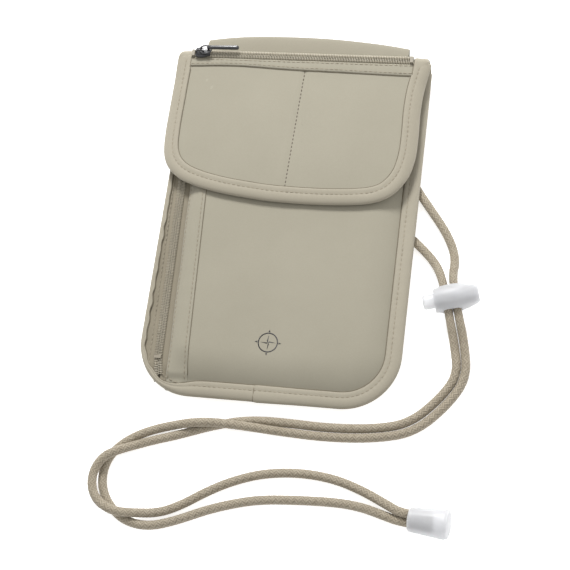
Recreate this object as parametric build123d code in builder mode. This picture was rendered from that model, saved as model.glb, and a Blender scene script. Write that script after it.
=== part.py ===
"""Neck pouch wallet lying on its back, in millimetres: +X to the right, +Y to the fold, +Z up.

The origin is on the surface below the middle of the pouch. The pouch is a back panel, a divider
and a front panel bound together round the rim. The flap hangs from the fold at the top and closes
over the front. The neck cord runs through a sleeve behind the fold, then both of its strands pass
under the pouch, through a cord lock and into one end cap.
"""

from build123d import *
import math
import os

# Fabric and layers
fabric = 0.6
binding_width = 8.0
binding_left_width = 3.4
facing_thickness = 0.5
layer_gap = 0.4
touch_gap = 0.05

# Pouch outline
body_width = 130.0
body_height = 180.0
body_mid_x = 1.25
corner_radius = 28.0
fold_y = 82.0
body_bottom = fold_y - body_height
mouth_y = 66.0
fold_depth = 6.2

# Room inside the pouch
compartment_depth = 4.6
pocket_depth = 0.6
panel_slope = 5.0

# Pan that the back panel sags into
pan_width = 92.0
pan_top_y = -24.0
pan_length = pan_top_y - body_bottom - 14.0
pan_radius = 12.0

# Flap
flap_width = 133.0
flap_mid_x = -1.25
flap_left_y = 12.5
flap_low_y = 2.9
flap_right_y = 7.5
flap_low_x = 6.0
flap_corner_radius = 26.0
hem_low_y = 76.9
patch_width = 60.0
patch_height = 16.0
patch_y = 24.0

# Zips, the same size on the flap and on the side
tape_thickness = 0.4
tooth_height = 1.2
tooth_width = 1.2
tooth_gap = 0.5
slider_width = 5.5
slider_length = 8.0
slider_plate = 0.9
lower_plate = 0.7
slider_gap = 0.25
slider_neck = 0.4
bail_thickness = 0.5
bail_width = 1.4
bail_length = 4.4
wire = 0.8
wire_gap = 0.35
stop_length = 1.6
side_zip_x = body_mid_x - body_width / 2 + 9.5
side_zip_mid_y = -35.0
side_zip_lean = 1.6
side_zip_top_y = 60.0
side_zip_bottom_y = -88.0
side_zip_stop_y = -80.0
side_tape_width = 5.2
side_pull_length = 13.0
side_pull_width = 4.0
flap_zip_y = 84.3
flap_zip_left_x = flap_mid_x - flap_width / 2 + binding_width + 0.35
flap_zip_right_x = flap_mid_x + flap_width / 2 - binding_width - 0.25
pull_ring_length = 7.0
pull_ring_width = 4.8
pull_bar_length = 16.0
pull_bar_width = 1.7
pull_bar_height = 1.8

# Cord and its sleeve
cord_diameter = 4.2
cord_clearance = 0.1
sleeve_width = 2 * (flap_mid_x - body_mid_x + body_width / 2 - binding_width - 0.5)
sleeve_front_y = 76.5
sleeve_back_y = 99.0

# Cord lock
lock_x = body_mid_x + body_width / 2 + 20.3
lock_y = -38.70 * (1 - (body_bottom + 98.0) / 98.0)
lock_turn = 14.5
lock_radius = 6.9
lock_left = -8.0
lock_right = 13.6
lock_face_radius = 5.6
lock_nose_radius = 3.8
strand_spacing = 4.4
lock_hole_gap = 0.6
plunger_radius = 3.6
plunger_gap = 0.15
plunger_travel = 2.6
plunger_end = -13.6
plunger_inner_end = 7.0
lock_end_wall = 1.4
spring_wall = 0.6

# End cap
cap_x = body_mid_x + body_width / 2 + 10.75
cap_y = -146.6
cap_turn = -3.5
cap_length = 19.0
cap_mouth_radius = 5.6
cap_end_radius = 7.0
cap_strand_spacing = 4.3
cap_strand_roll = 40.0
cap_hole_depth = 12.0
cap_hole_gap = 0.2

# Levels, from the surface up
back_z = 2 * fabric + cord_diameter + 2 * cord_clearance
divider_rim_z = back_z + fabric
front_rim_z = divider_rim_z + fabric
rim_top_z = front_rim_z + fabric
divider_z = back_z + fabric + compartment_depth
front_z = divider_z + fabric + pocket_depth
front_top_z = front_z + fabric
facing_top_z = front_top_z + facing_thickness
flap_z = facing_top_z + layer_gap
lining_z = flap_z + fabric
flap_front_z = lining_z + fabric
flap_tape_z = flap_front_z + fabric
sleeve_mid_z = back_z / 2
hinge_y = fold_y + fold_depth
hinge_z = flap_z - 0.3
side_tape_z = front_rim_z + 2 * slider_gap + lower_plate
tray_foot = 2.9
tray_rim = binding_width + 1.0


def side_zip_x_at(y):
    """X of the leaning side zip's middle at a height y on the pouch."""
    return side_zip_x - (y - side_zip_mid_y) * math.tan(math.radians(side_zip_lean))


def pouch_outline(inset, top, left_inset=None):
    """Rounded pouch outline, drawn in by inset on the sides and the bottom."""
    left = body_mid_x - body_width / 2 + (inset if left_inset is None else left_inset)
    right = body_mid_x + body_width / 2 - inset
    bottom = body_bottom + inset
    with BuildSketch() as outline:
        with Locations(((left + right) / 2, (top + bottom) / 2)):
            Rectangle(right - left, top - bottom)
        fillet(outline.vertices().group_by(Axis.Y)[0], corner_radius - inset)
    return outline.sketch


def tray_outline(inset, top):
    """Raised area of a panel: its left side leans with the side zip."""
    right = body_mid_x + body_width / 2 - tray_rim - inset
    bottom = body_bottom + tray_rim + inset
    with BuildSketch() as outline:
        with BuildLine():
            Polyline(
                (side_zip_x_at(top) + tray_foot + inset, top),
                (side_zip_x_at(bottom) + tray_foot + inset, bottom),
                (right, bottom),
                (right, top),
                close=True,
            )
        make_face()
        fillet(outline.vertices().group_by(Axis.Y)[0].sort_by(Axis.X)[-1], corner_radius - tray_rim - inset)
        fillet(outline.vertices().group_by(Axis.Y)[0].sort_by(Axis.X)[0], 4.0)
    return outline.sketch


def flap_outline(inset, top):
    """Flap outline with a shallow curved lower edge, drawn in by inset on all sides but the top."""
    left = flap_mid_x - flap_width / 2 + inset
    right = flap_mid_x + flap_width / 2 - inset
    with BuildSketch() as outline:
        with BuildLine():
            Polyline((left, flap_left_y + inset), (left, top), (right, top), (right, flap_right_y + inset))
            ThreePointArc(
                (right, flap_right_y + inset), (flap_low_x, flap_low_y + inset), (left, flap_left_y + inset)
            )
        make_face()
        low = outline.vertices().group_by(Axis.Y)[:2]
        fillet(low[0] + low[1], flap_corner_radius - inset)
    return outline.sketch


def finish(part, name):
    """Label a finished piece and write it out."""
    part.label = name
    export_step(part, f"parts/{name}.step")


os.makedirs("parts", exist_ok=True)

# ---------------------------------------------------------------- pouch panels

rim_edge = pouch_outline(fabric, fold_y)
mouth_edge = pouch_outline(fabric, mouth_y)
binding_edge = pouch_outline(0, fold_y)
back_binding_inner = pouch_outline(binding_width, fold_y + 1)
front_binding_inner = pouch_outline(binding_width, fold_y + 1, binding_left_width)

pan_middle = (body_mid_x, pan_top_y - pan_length / 2)
with BuildPart() as back_panel:
    with BuildSketch(Plane.XY.offset(back_z)):
        add(rim_edge)
    extrude(amount=fabric)
    with BuildSketch(Plane.XY.offset(back_z)):
        with Locations(pan_middle):
            RectangleRounded(pan_width, pan_length, pan_radius)
    with BuildSketch(Plane.XY):
        with Locations(pan_middle):
            RectangleRounded(pan_width - 2 * panel_slope, pan_length - 2 * panel_slope, pan_radius - 4)
    loft()
    with BuildSketch(Plane.XY.offset(back_z + fabric)):
        with Locations(pan_middle):
            RectangleRounded(pan_width - 2 * fabric, pan_length - 2 * fabric, pan_radius - fabric)
    with BuildSketch(Plane.XY.offset(fabric)):
        with Locations(pan_middle):
            RectangleRounded(
                pan_width - 2 * panel_slope - 2 * fabric,
                pan_length - 2 * panel_slope - 2 * fabric,
                pan_radius - 4 - fabric,
            )
    loft(mode=Mode.SUBTRACT)
finish(back_panel.part, "back_panel")

with BuildPart() as divider:
    with BuildSketch(Plane.XY.offset(divider_rim_z)):
        add(mouth_edge)
    extrude(amount=fabric)
    with BuildSketch(Plane.XY.offset(divider_rim_z)):
        add(tray_outline(tray_foot, mouth_y))
    with BuildSketch(Plane.XY.offset(divider_z + fabric)):
        add(tray_outline(tray_foot + panel_slope, mouth_y))
    loft()
    with BuildSketch(Plane.XY.offset(divider_rim_z)):
        add(tray_outline(tray_foot + fabric, mouth_y + 1))
    with BuildSketch(Plane.XY.offset(divider_z)):
        add(tray_outline(tray_foot + panel_slope + fabric, mouth_y + 1))
    loft(mode=Mode.SUBTRACT)
finish(divider.part, "divider")

with BuildPart() as front_panel:
    with BuildSketch(Plane.XY.offset(front_rim_z)):
        add(mouth_edge)
    extrude(amount=fabric)
    with BuildSketch(Plane.XY.offset(front_rim_z)):
        add(tray_outline(0, mouth_y))
    with BuildSketch(Plane.XY.offset(front_top_z)):
        add(tray_outline(panel_slope, mouth_y))
    loft()
    with BuildSketch(Plane.XY.offset(front_rim_z)):
        add(tray_outline(fabric, mouth_y + 1))
    with BuildSketch(Plane.XY.offset(front_z)):
        add(tray_outline(panel_slope + fabric, mouth_y + 1))
    loft(mode=Mode.SUBTRACT)
    with BuildSketch(Plane.XY.offset(front_rim_z)):
        with BuildLine():
            Polyline(
                (side_zip_x_at(mouth_y + 1) + tray_foot + panel_slope, mouth_y + 1),
                (side_zip_x_at(body_bottom) + tray_foot + panel_slope, body_bottom),
                (body_mid_x - body_width, body_bottom),
                (body_mid_x - body_width, mouth_y + 1),
                close=True,
            )
        make_face()
    extrude(amount=side_tape_z + tape_thickness + touch_gap - front_rim_z, mode=Mode.SUBTRACT)
finish(front_panel.part, "front_panel")

with BuildPart() as body_binding:
    with BuildSketch(Plane.XY.offset(back_z - fabric)):
        add(binding_edge)
        add(back_binding_inner, mode=Mode.SUBTRACT)
    extrude(amount=fabric)
    with BuildSketch(Plane.XY.offset(back_z)):
        add(binding_edge)
        add(pouch_outline(fabric, fold_y + 1), mode=Mode.SUBTRACT)
    extrude(amount=rim_top_z - back_z)
    with BuildSketch(Plane.XY.offset(rim_top_z)):
        add(binding_edge)
        add(front_binding_inner, mode=Mode.SUBTRACT)
    extrude(amount=fabric)
finish(body_binding.part, "body_binding")

fold_section = Plane(origin=(body_mid_x - body_width / 2, 0, 0), x_dir=(0, 1, 0), z_dir=(1, 0, 0))
with BuildPart() as back_fold:
    with BuildSketch(fold_section):
        with BuildLine():
            outer = ThreePointArc((fold_y, back_z), (hinge_y - 1.0, back_z + 3.0), (hinge_y + 0.2, hinge_z - 0.3))
            Line(outer @ 1, (hinge_y - 0.25, hinge_z - 0.3))
            inner = ThreePointArc(
                (hinge_y - 0.25, hinge_z - 0.3), (hinge_y - 1.6, back_z + 3.4), (fold_y, back_z + fabric)
            )
            Line(inner @ 1, outer @ 0)
        make_face()
    extrude(amount=body_width)
finish(back_fold.part, "back_fold")

with BuildPart() as loop_patch:
    with BuildSketch(Plane.XY.offset(front_top_z)):
        with Locations((flap_mid_x, patch_y)):
            RectangleRounded(patch_width, patch_height, 2)
    extrude(amount=facing_thickness)
finish(loop_patch.part, "loop_patch")

# ---------------------------------------------------------------- side zip

lean = math.radians(side_zip_lean)
zip_right = Vector(math.cos(lean), math.sin(lean), 0)
zip_down = Vector(math.sin(lean), -math.cos(lean), 0)
side_zip_length = (side_zip_top_y - side_zip_bottom_y) / math.cos(lean)
side_zip_top = Vector(side_zip_x_at(side_zip_top_y), side_zip_top_y, 0)
side_section = Plane(origin=side_zip_top, x_dir=zip_right, z_dir=zip_down)
tape_top = side_tape_z + tape_thickness
tooth_edge = tooth_gap + tooth_width


def side_plan(along, height):
    """Plane seen from above, at a distance along the side zip from its top, at a height."""
    centre = side_zip_top + zip_down * along
    return Plane(origin=(centre.X, centre.Y, height), x_dir=zip_right, z_dir=(0, 0, 1))


tape_trim = pouch_outline(1.5, fold_y)
for side, name in ((-1, "side_zip_tape_left"), (1, "side_zip_tape_right")):
    with BuildPart() as side_tape:
        with BuildSketch(side_section):
            with Locations((side * (tooth_gap + 0.2 + side_tape_width) / 2, side_tape_z + tape_thickness / 2)):
                Rectangle(side_tape_width - tooth_gap - 0.2, tape_thickness)
        extrude(amount=side_zip_length)
        with BuildSketch(Plane.XY.offset(side_tape_z)):
            add(tape_trim)
        extrude(amount=tape_thickness, mode=Mode.INTERSECT)
    finish(side_tape.part, name)

for side, name in ((-1, "side_zip_teeth_left"), (1, "side_zip_teeth_right")):
    with BuildPart() as side_teeth:
        with BuildSketch(side_section):
            with Locations((side * (tooth_gap + tooth_width / 2), tape_top + tooth_height / 2)):
                Rectangle(tooth_width, tooth_height)
        extrude(amount=side_zip_length)
    finish(side_teeth.part, name)

side_stop_along = (side_zip_top_y - side_zip_stop_y) / math.cos(lean)
for along, name in ((stop_length / 2, "side_zip_top_stop"), (side_stop_along, "side_zip_bottom_stop")):
    with BuildPart() as side_stop:
        with BuildSketch(side_plan(along, tape_top + tooth_height)):
            Rectangle(2 * tooth_edge, stop_length)
        extrude(amount=fabric)
    finish(side_stop.part, name)

with BuildPart() as side_facing:
    with BuildSketch(side_section):
        foot = tray_foot - facing_thickness - touch_gap
        rise = panel_slope * (tape_top + 2 * touch_gap - front_rim_z) / (front_top_z - front_rim_z)
        with BuildLine():
            Polyline(
                (foot + rise, tape_top + 2 * touch_gap),
                (foot + rise + facing_thickness, tape_top + 2 * touch_gap),
                (tray_foot + panel_slope - touch_gap, front_top_z + touch_gap),
                (tray_foot + panel_slope + 6.5, front_top_z + touch_gap),
                (tray_foot + panel_slope + 6.5, facing_top_z),
                (tray_foot + panel_slope - facing_thickness, facing_top_z),
                close=True,
            )
        make_face()
    extrude(amount=side_zip_length - 1.0)
finish(side_facing.part, "side_facing")

side_slider_along = stop_length + slider_length / 2 + 0.4
slider_top_z = tape_top + tooth_height + slider_gap
with BuildPart() as side_zip_slider:
    with BuildSketch(side_plan(side_slider_along, slider_top_z)):
        RectangleRounded(slider_width, slider_length, 1.4)
    extrude(amount=slider_plate)
    with BuildSketch(side_plan(side_slider_along, side_tape_z - slider_gap - lower_plate)):
        RectangleRounded(slider_width, slider_length, 1.4)
    extrude(amount=lower_plate)
    with BuildSketch(side_plan(side_slider_along - slider_length / 3, side_tape_z - slider_gap)):
        Rectangle(slider_neck, slider_length / 4)
    extrude(amount=slider_top_z - side_tape_z + slider_gap)
    with BuildSketch(side_plan(side_slider_along, slider_top_z + slider_plate)):
        Rectangle(bail_width, bail_length)
    extrude(amount=wire + wire_gap + bail_thickness)
    with BuildSketch(side_plan(side_slider_along, slider_top_z + slider_plate)):
        Rectangle(2 * bail_width, bail_length - 2 * bail_thickness)
    extrude(amount=wire + wire_gap, mode=Mode.SUBTRACT)
finish(side_zip_slider.part, "side_zip_slider")

side_wire_z = slider_top_z + slider_plate + (wire + wire_gap) / 2
with BuildPart() as side_zip_pull:
    with BuildSketch(side_plan(side_slider_along + side_pull_length / 2 - wire, side_wire_z - wire / 2)):
        RectangleRounded(side_pull_width, side_pull_length, 1.2)
        with Locations((0, side_pull_length / 2 - wire - 1.5)):
            Rectangle(side_pull_width - 2 * wire, 3.0, mode=Mode.SUBTRACT)
    extrude(amount=wire)
finish(side_zip_pull.part, "side_zip_pull")

# ---------------------------------------------------------------- flap

flap_panel_top = flap_zip_y - slider_width / 2 - slider_gap
flap_edge = flap_outline(0, fold_y)
flap_inner = flap_outline(binding_width, fold_y + 1)
with BuildPart() as flap_lining:
    with BuildSketch(Plane.XY.offset(lining_z)):
        add(flap_outline(fabric, flap_panel_top))
    extrude(amount=fabric)
finish(flap_lining.part, "flap_lining")

with BuildPart() as flap_front:
    with BuildSketch(Plane.XY.offset(flap_front_z)):
        add(flap_outline(fabric, flap_panel_top))
    extrude(amount=fabric)
finish(flap_front.part, "flap_front")

with BuildPart() as flap_binding:
    with BuildSketch(Plane.XY.offset(flap_z)):
        add(flap_edge)
        add(flap_inner, mode=Mode.SUBTRACT)
    extrude(amount=4 * fabric)
    with BuildSketch(Plane.XY.offset(lining_z)):
        add(flap_outline(fabric, fold_y + 1))
    extrude(amount=2 * fabric, mode=Mode.SUBTRACT)
finish(flap_binding.part, "flap_binding")

with BuildPart() as hook_patch:
    with BuildSketch(Plane.XY.offset(lining_z - facing_thickness)):
        with Locations((flap_mid_x, patch_y)):
            RectangleRounded(patch_width, patch_height, 2)
    extrude(amount=facing_thickness)
finish(hook_patch.part, "hook_patch")

flap_zip_length = flap_zip_right_x - flap_zip_left_x
flap_section = Plane(origin=(flap_zip_left_x, flap_zip_y, 0), x_dir=(0, 1, 0), z_dir=(1, 0, 0))
flap_tape_top = flap_tape_z + tape_thickness
fold_back = hinge_y - 0.3
with BuildPart() as flap_fold:
    with BuildSketch(flap_section):
        with Locations((fold_back - fabric / 2 - flap_zip_y, (flap_z + flap_tape_z) / 2)):
            Rectangle(fabric, flap_tape_z - flap_z)
    extrude(amount=flap_zip_length)
finish(flap_fold.part, "flap_fold")

tape_edges = (
    (-flap_zip_y + hem_low_y + 2.0, -tooth_gap - 0.2, "flap_zip_tape_front"),
    (tooth_gap + 0.2, fold_back - flap_zip_y, "flap_zip_tape_back"),
)
for near, far, name in tape_edges:
    with BuildPart() as flap_tape:
        with BuildSketch(flap_section):
            with Locations(((near + far) / 2, flap_tape_z + tape_thickness / 2)):
                Rectangle(far - near, tape_thickness)
        extrude(amount=flap_zip_length)
    finish(flap_tape.part, name)

for side, name in ((-1, "flap_zip_teeth_front"), (1, "flap_zip_teeth_back")):
    with BuildPart() as flap_teeth:
        with BuildSketch(flap_section):
            with Locations((side * (tooth_gap + tooth_width / 2), flap_tape_top + tooth_height / 2)):
                Rectangle(tooth_width, tooth_height)
        extrude(amount=flap_zip_length)
    finish(flap_teeth.part, name)

with BuildPart() as flap_hem_band:
    with BuildSketch(Plane.XY.offset(flap_tape_top)):
        hem_far_y = flap_zip_y - tooth_edge - 0.1
        with Locations(((flap_zip_left_x + flap_zip_right_x) / 2, (hem_low_y + hem_far_y) / 2)):
            Rectangle(flap_zip_length - 2 * touch_gap, hem_far_y - hem_low_y)
    extrude(amount=facing_thickness)
finish(flap_hem_band.part, "flap_hem_band")

for stop_x, name in (
    (flap_zip_left_x + stop_length / 2, "flap_zip_stop_left"),
    (flap_zip_right_x - stop_length / 2, "flap_zip_stop_right"),
):
    with BuildPart() as flap_stop:
        with BuildSketch(Plane.XY.offset(flap_tape_top + tooth_height)):
            with Locations((stop_x, flap_zip_y)):
                Rectangle(stop_length, 2 * tooth_edge)
        extrude(amount=fabric)
    finish(flap_stop.part, name)

slider_x = flap_zip_left_x + stop_length + slider_length / 2 + 0.4
flap_slider_z = flap_tape_top + tooth_height + slider_gap
flap_bail_z = flap_slider_z + slider_plate
pull_x = slider_x - 1.6
with BuildPart() as flap_zip_slider:
    with BuildSketch(Plane.XY.offset(flap_slider_z)):
        with Locations((slider_x, flap_zip_y)):
            RectangleRounded(slider_length, slider_width, 1.4)
    extrude(amount=slider_plate)
    with BuildSketch(Plane.XY.offset(flap_tape_z - slider_gap - lower_plate)):
        with Locations((slider_x, flap_zip_y)):
            RectangleRounded(slider_length, slider_width, 1.4)
    extrude(amount=lower_plate)
    with BuildSketch(Plane.XY.offset(flap_tape_z - slider_gap)):
        with Locations((slider_x - slider_length / 3, flap_zip_y)):
            Rectangle(slider_length / 4, slider_neck)
    extrude(amount=flap_slider_z - flap_tape_z + slider_gap)
    with BuildSketch(Plane.XY.offset(flap_bail_z)):
        with Locations((pull_x, flap_zip_y)):
            Rectangle(bail_length, bail_width)
    extrude(amount=wire + wire_gap + bail_thickness)
    with BuildSketch(Plane.XY.offset(flap_bail_z)):
        with Locations((pull_x, flap_zip_y)):
            Rectangle(bail_length - 2 * bail_thickness, 2 * bail_width)
    extrude(amount=wire + wire_gap, mode=Mode.SUBTRACT)
finish(flap_zip_slider.part, "flap_zip_slider")

pull_z = flap_bail_z + (wire + wire_gap) / 2
ring_y = flap_zip_y + 0.4
with BuildPart() as flap_zip_ring:
    with BuildSketch(Plane.XY.offset(pull_z - wire / 2)):
        with Locations((pull_x + pull_ring_length / 2 - wire / 2, ring_y)):
            RectangleRounded(pull_ring_length, pull_ring_width, 1.6)
            RectangleRounded(pull_ring_length - 2 * wire, pull_ring_width - 2 * wire, 0.8, mode=Mode.SUBTRACT)
    extrude(amount=wire)
finish(flap_zip_ring.part, "flap_zip_ring")

bar_y = ring_y + pull_ring_width / 2 - pull_bar_width / 2
bar_left = pull_x + pull_ring_length - wire / 2
with BuildPart() as flap_zip_bar:
    with BuildSketch(Plane.XY.offset(pull_z - pull_bar_height / 2)):
        with Locations((bar_left + pull_bar_length / 2, bar_y)):
            RectangleRounded(pull_bar_length, pull_bar_width, 0.5)
    extrude(amount=pull_bar_height)
finish(flap_zip_bar.part, "flap_zip_bar")

# ---------------------------------------------------------------- cord sleeve

sleeve_height = back_z
with BuildPart() as cord_sleeve:
    with BuildSketch(
        Plane(origin=(flap_mid_x - sleeve_width / 2, 0, 0), x_dir=(0, 1, 0), z_dir=(1, 0, 0))
    ):
        with Locations(((sleeve_front_y + sleeve_back_y) / 2, sleeve_height / 2)):
            RectangleRounded(sleeve_back_y - sleeve_front_y, sleeve_height, 1.4)
            RectangleRounded(
                sleeve_back_y - sleeve_front_y - 2 * fabric, sleeve_height - 2 * fabric, 0.8, mode=Mode.SUBTRACT
            )
    extrude(amount=sleeve_width)
finish(cord_sleeve.part, "cord_sleeve")

# ---------------------------------------------------------------- cord

sleeve_route = [
    (-55.25, 82.0, sleeve_mid_z),
    (-46.75, 88.0, sleeve_mid_z),
    (-28.0, 90.2, sleeve_mid_z),
    (-3.0, 89.0, sleeve_mid_z),
    (24.0, 90.0, sleeve_mid_z),
    (44.25, 88.0, sleeve_mid_z),
    (52.75, 82.0, sleeve_mid_z),
]

right_route = [
    (52.75, 82.0, sleeve_mid_z),
    (58.7, 77.8, sleeve_mid_z),
    (61.9, 71.0, 2.3),
    (62.0, 59.0, 2.2),
    (58.0, 40.0, 2.2),
    (60.5, 24.0, 2.2),
    (70.8, 10.5, 2.2),
    (82.0, -4.5, 2.2),
    (86.9, -16.5, 2.2),
    (86.2, -28.5, 6.9),
    (91.2, -47.8, 6.9),
    (94.6, -59.5, 2.2),
    (97.3, -76.0, 2.2),
    (90.2, -89.5, 2.2),
    (75.5, -104.9, 2.2),
    (57.0, -109.6, 2.2),
    (34.0, -111.2, 2.2),
    (11.0, -110.3, 2.2),
    (-8.0, -110.0, 6.8),
    (-27.0, -109.6, 6.8),
    (-45.0, -112.6, 2.2),
    (-57.0, -117.2, 2.2),
    (-66.2, -123.4, 2.2),
    (-71.6, -130.6, 2.2),
    (-73.2, -139.2, 2.2),
    (-71.2, -147.6, 2.2),
    (-65.8, -154.8, 2.2),
    (-57.6, -160.4, 2.2),
    (-46.0, -161.8, 2.2),
    (-33.0, -157.6, 2.2),
    (-20.0, -151.6, 2.2),
    (-7.5, -147.2, 2.2),
    (6.0, -143.8, 2.2),
    (24.0, -142.3, 2.2),
    (42.0, -141.6, 2.2),
    (54.0, -142.6, 2.2),
    (64.5, -145.4, 2.3),
    (73.8, -148.1, 4.0),
    (87.9, -148.9, 5.0),
]

left_route = [
    (-55.25, 82.0, sleeve_mid_z),
    (-61.2, 77.8, sleeve_mid_z),
    (-64.6, 70.8, 2.3),
    (-64.4, 58.0, 2.2),
    (-53.0, 43.5, 2.2),
    (-33.0, 31.5, 2.2),
    (-6.0, 23.5, 2.2),
    (22.0, 16.5, 2.2),
    (46.0, 5.5, 2.2),
    (64.0, -7.0, 2.2),
    (76.6, -18.6, 2.2),
    (81.9, -29.6, 6.9),
    (86.9, -48.9, 6.9),
    (90.0, -60.5, 2.2),
    (92.9, -75.2, 2.2),
    (86.0, -87.2, 2.2),
    (72.6, -100.9, 2.2),
    (56.0, -105.1, 2.2),
    (34.0, -106.6, 2.2),
    (13.0, -105.7, 2.2),
    (-5.0, -106.0, 2.2),
    (-22.0, -110.2, 2.2),
    (-38.5, -116.4, 2.2),
    (-49.0, -119.6, 2.2),
    (-57.2, -122.7, 2.6),
    (-65.6, -126.8, 5.6),
    (-72.6, -130.9, 6.9),
    (-76.6, -138.4, 6.4),
    (-76.0, -147.0, 6.4),
    (-71.0, -153.6, 6.9),
    (-62.8, -157.0, 6.9),
    (-54.0, -156.4, 4.2),
    (-42.0, -154.9, 2.2),
    (-31.5, -150.0, 2.2),
    (-20.5, -142.6, 2.2),
    (-8.5, -136.2, 2.2),
    (6.0, -131.2, 2.2),
    (23.0, -129.2, 2.2),
    (40.0, -130.6, 2.2),
    (54.0, -135.0, 2.2),
    (65.5, -140.4, 3.6),
    (74.0, -144.8, 6.8),
    (88.0, -145.6, 7.8),
]


def laid(route):
    """A cord's route, moved out with the pouch's sides and moved with its bottom edge."""
    wider = body_width / 2 - 65.0
    lower = body_bottom + 98.0
    moved = []
    for x, y, z in route:
        out = wider * max(-1.0, min(1.0, x / 60))
        moved.append((x + out, y + lower * max(0.0, min(1.0, -y / 98)), z))
    return moved


def bend_radii(route):
    """One radius for each corner: as large as its shorter run allows."""
    points = [Vector(*point) for point in route]
    radii = []
    for before, corner, after in zip(points, points[1:], points[2:]):
        run_in = corner - before
        run_out = after - corner
        half_turn = math.radians(run_in.get_angle(run_out)) / 2
        radii.append(0.45 * min(run_in.length, run_out.length) / math.tan(half_turn))
    return radii


for name, route in (
    ("cord_in_sleeve", laid(sleeve_route)),
    ("cord_right", laid(right_route)),
    ("cord_left", laid(left_route)),
):
    radii = bend_radii(route)
    with BuildPart() as cord:
        with BuildLine() as cord_line:
            FilletPolyline(*route, radius=radii)
        with BuildSketch(Plane(origin=cord_line.line @ 0, z_dir=cord_line.line % 0)):
            Circle(cord_diameter / 2)
        sweep()
    cord_length = sum(edge.length for edge in cord_line.edges())
    section = math.pi * cord_diameter**2 / 4
    print(name, "length", round(cord_length, 1), "radii", [round(radius, 1) for radius in radii])
    print(name, "volume over section times length", round(cord.part.volume / (section * cord_length), 4))
    finish(cord.part, name)

# ---------------------------------------------------------------- cord lock

turn = math.radians(lock_turn)
lock_along = Vector(math.cos(turn), math.sin(turn), 0)
lock_through = Vector(math.sin(turn), -math.cos(turn), 0)
lock_centre = Vector(lock_x, lock_y, lock_radius)
lock_section = Plane(origin=lock_centre, x_dir=lock_along, z_dir=lock_through)
lock_axis = Axis(lock_centre, lock_along)
hole_width = strand_spacing + cord_diameter + 2 * lock_hole_gap - 0.4
hole_height = cord_diameter + 2 * lock_hole_gap
bore_end = lock_right - lock_end_wall
with BuildPart() as cord_lock_barrel:
    with BuildSketch(lock_section):
        with BuildLine():
            Polyline((lock_left, 0), (lock_left, lock_face_radius))
            ThreePointArc((lock_left, lock_face_radius), (0, lock_radius), (lock_right - 1.2, lock_nose_radius + 0.6))
            Polyline(
                (lock_right - 1.2, lock_nose_radius + 0.6),
                (lock_right, lock_nose_radius),
                (lock_right, 0),
                (lock_left, 0),
            )
        make_face()
    revolve(axis=lock_axis)
    with BuildSketch(lock_section):
        with BuildLine():
            Polyline(
                (lock_left, 0),
                (lock_left, plunger_radius + plunger_gap),
                (bore_end, plunger_radius + plunger_gap),
                (bore_end, 0),
                close=True,
            )
        make_face()
    revolve(axis=lock_axis, mode=Mode.SUBTRACT)
    with BuildSketch(lock_section):
        SlotOverall(hole_width, hole_height)
    extrude(amount=lock_radius + 1, both=True, mode=Mode.SUBTRACT)
finish(cord_lock_barrel.part, "cord_lock_barrel")

with BuildPart() as cord_lock_plunger:
    with BuildSketch(lock_section):
        with BuildLine():
            Polyline(
                (plunger_end, 0),
                (plunger_end, plunger_radius - 0.8),
                (plunger_end + 0.8, plunger_radius),
                (plunger_inner_end, plunger_radius),
                (plunger_inner_end, 0),
                close=True,
            )
        make_face()
    revolve(axis=lock_axis)
    with BuildSketch(lock_section):
        with Locations((-plunger_travel / 2, 0)):
            SlotOverall(hole_width + plunger_travel, hole_height)
    extrude(amount=lock_radius + 1, both=True, mode=Mode.SUBTRACT)
finish(cord_lock_plunger.part, "cord_lock_plunger")

with BuildPart() as cord_lock_spring:
    with BuildSketch(Plane(origin=lock_centre + lock_along * plunger_inner_end, z_dir=lock_along)):
        Circle(plunger_radius - fabric)
        Circle(plunger_radius - fabric - spring_wall, mode=Mode.SUBTRACT)
    extrude(amount=bore_end - plunger_inner_end)
finish(cord_lock_spring.part, "cord_lock_spring")

# ---------------------------------------------------------------- end cap

cap_heading = math.radians(cap_turn)
cap_rise = math.asin((cap_end_radius - cap_mouth_radius) / cap_length)
cap_along = Vector(
    math.cos(cap_heading) * math.cos(cap_rise), math.sin(cap_heading) * math.cos(cap_rise), math.sin(cap_rise)
)
cap_side = Vector(-math.sin(cap_heading), math.cos(cap_heading), 0)
cap_mouth = Vector(cap_x, cap_y, cap_mouth_radius)
cap_section = Plane(origin=cap_mouth, x_dir=cap_along, z_dir=-cap_side)
with BuildPart() as cord_end_cap:
    with BuildSketch(cap_section):
        with BuildLine():
            Polyline(
                (0, 0),
                (0, cap_mouth_radius - 0.6),
                (0.6, cap_mouth_radius),
                (cap_length - 2.0, cap_end_radius),
                (cap_length - 0.6, cap_end_radius - 0.6),
                (cap_length, cap_end_radius - 2.2),
                (cap_length, 0),
                close=True,
            )
        make_face()
    revolve(axis=Axis(cap_mouth, cap_along))
    with BuildSketch(Plane(origin=cap_mouth, x_dir=cap_side, z_dir=cap_along)):
        SlotOverall(
            cap_strand_spacing + cord_diameter + 2 * cap_hole_gap,
            cord_diameter + 2 * cap_hole_gap,
            rotation=cap_strand_roll,
        )
    extrude(amount=cap_hole_depth, mode=Mode.SUBTRACT)
finish(cord_end_cap.part, "cord_end_cap")
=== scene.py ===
"""Neck pouch wallet with its flap closed and its neck cord laid out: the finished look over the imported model.

Lengths in the tables and functions below are in millimetres, and each mesh is scaled to metres when
it is made. +X is to the right, +Y towards the fold, +Z up out of the front of the pouch.
"""
import math

import bmesh
import bpy
from mathutils import Matrix, Vector, noise


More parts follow.
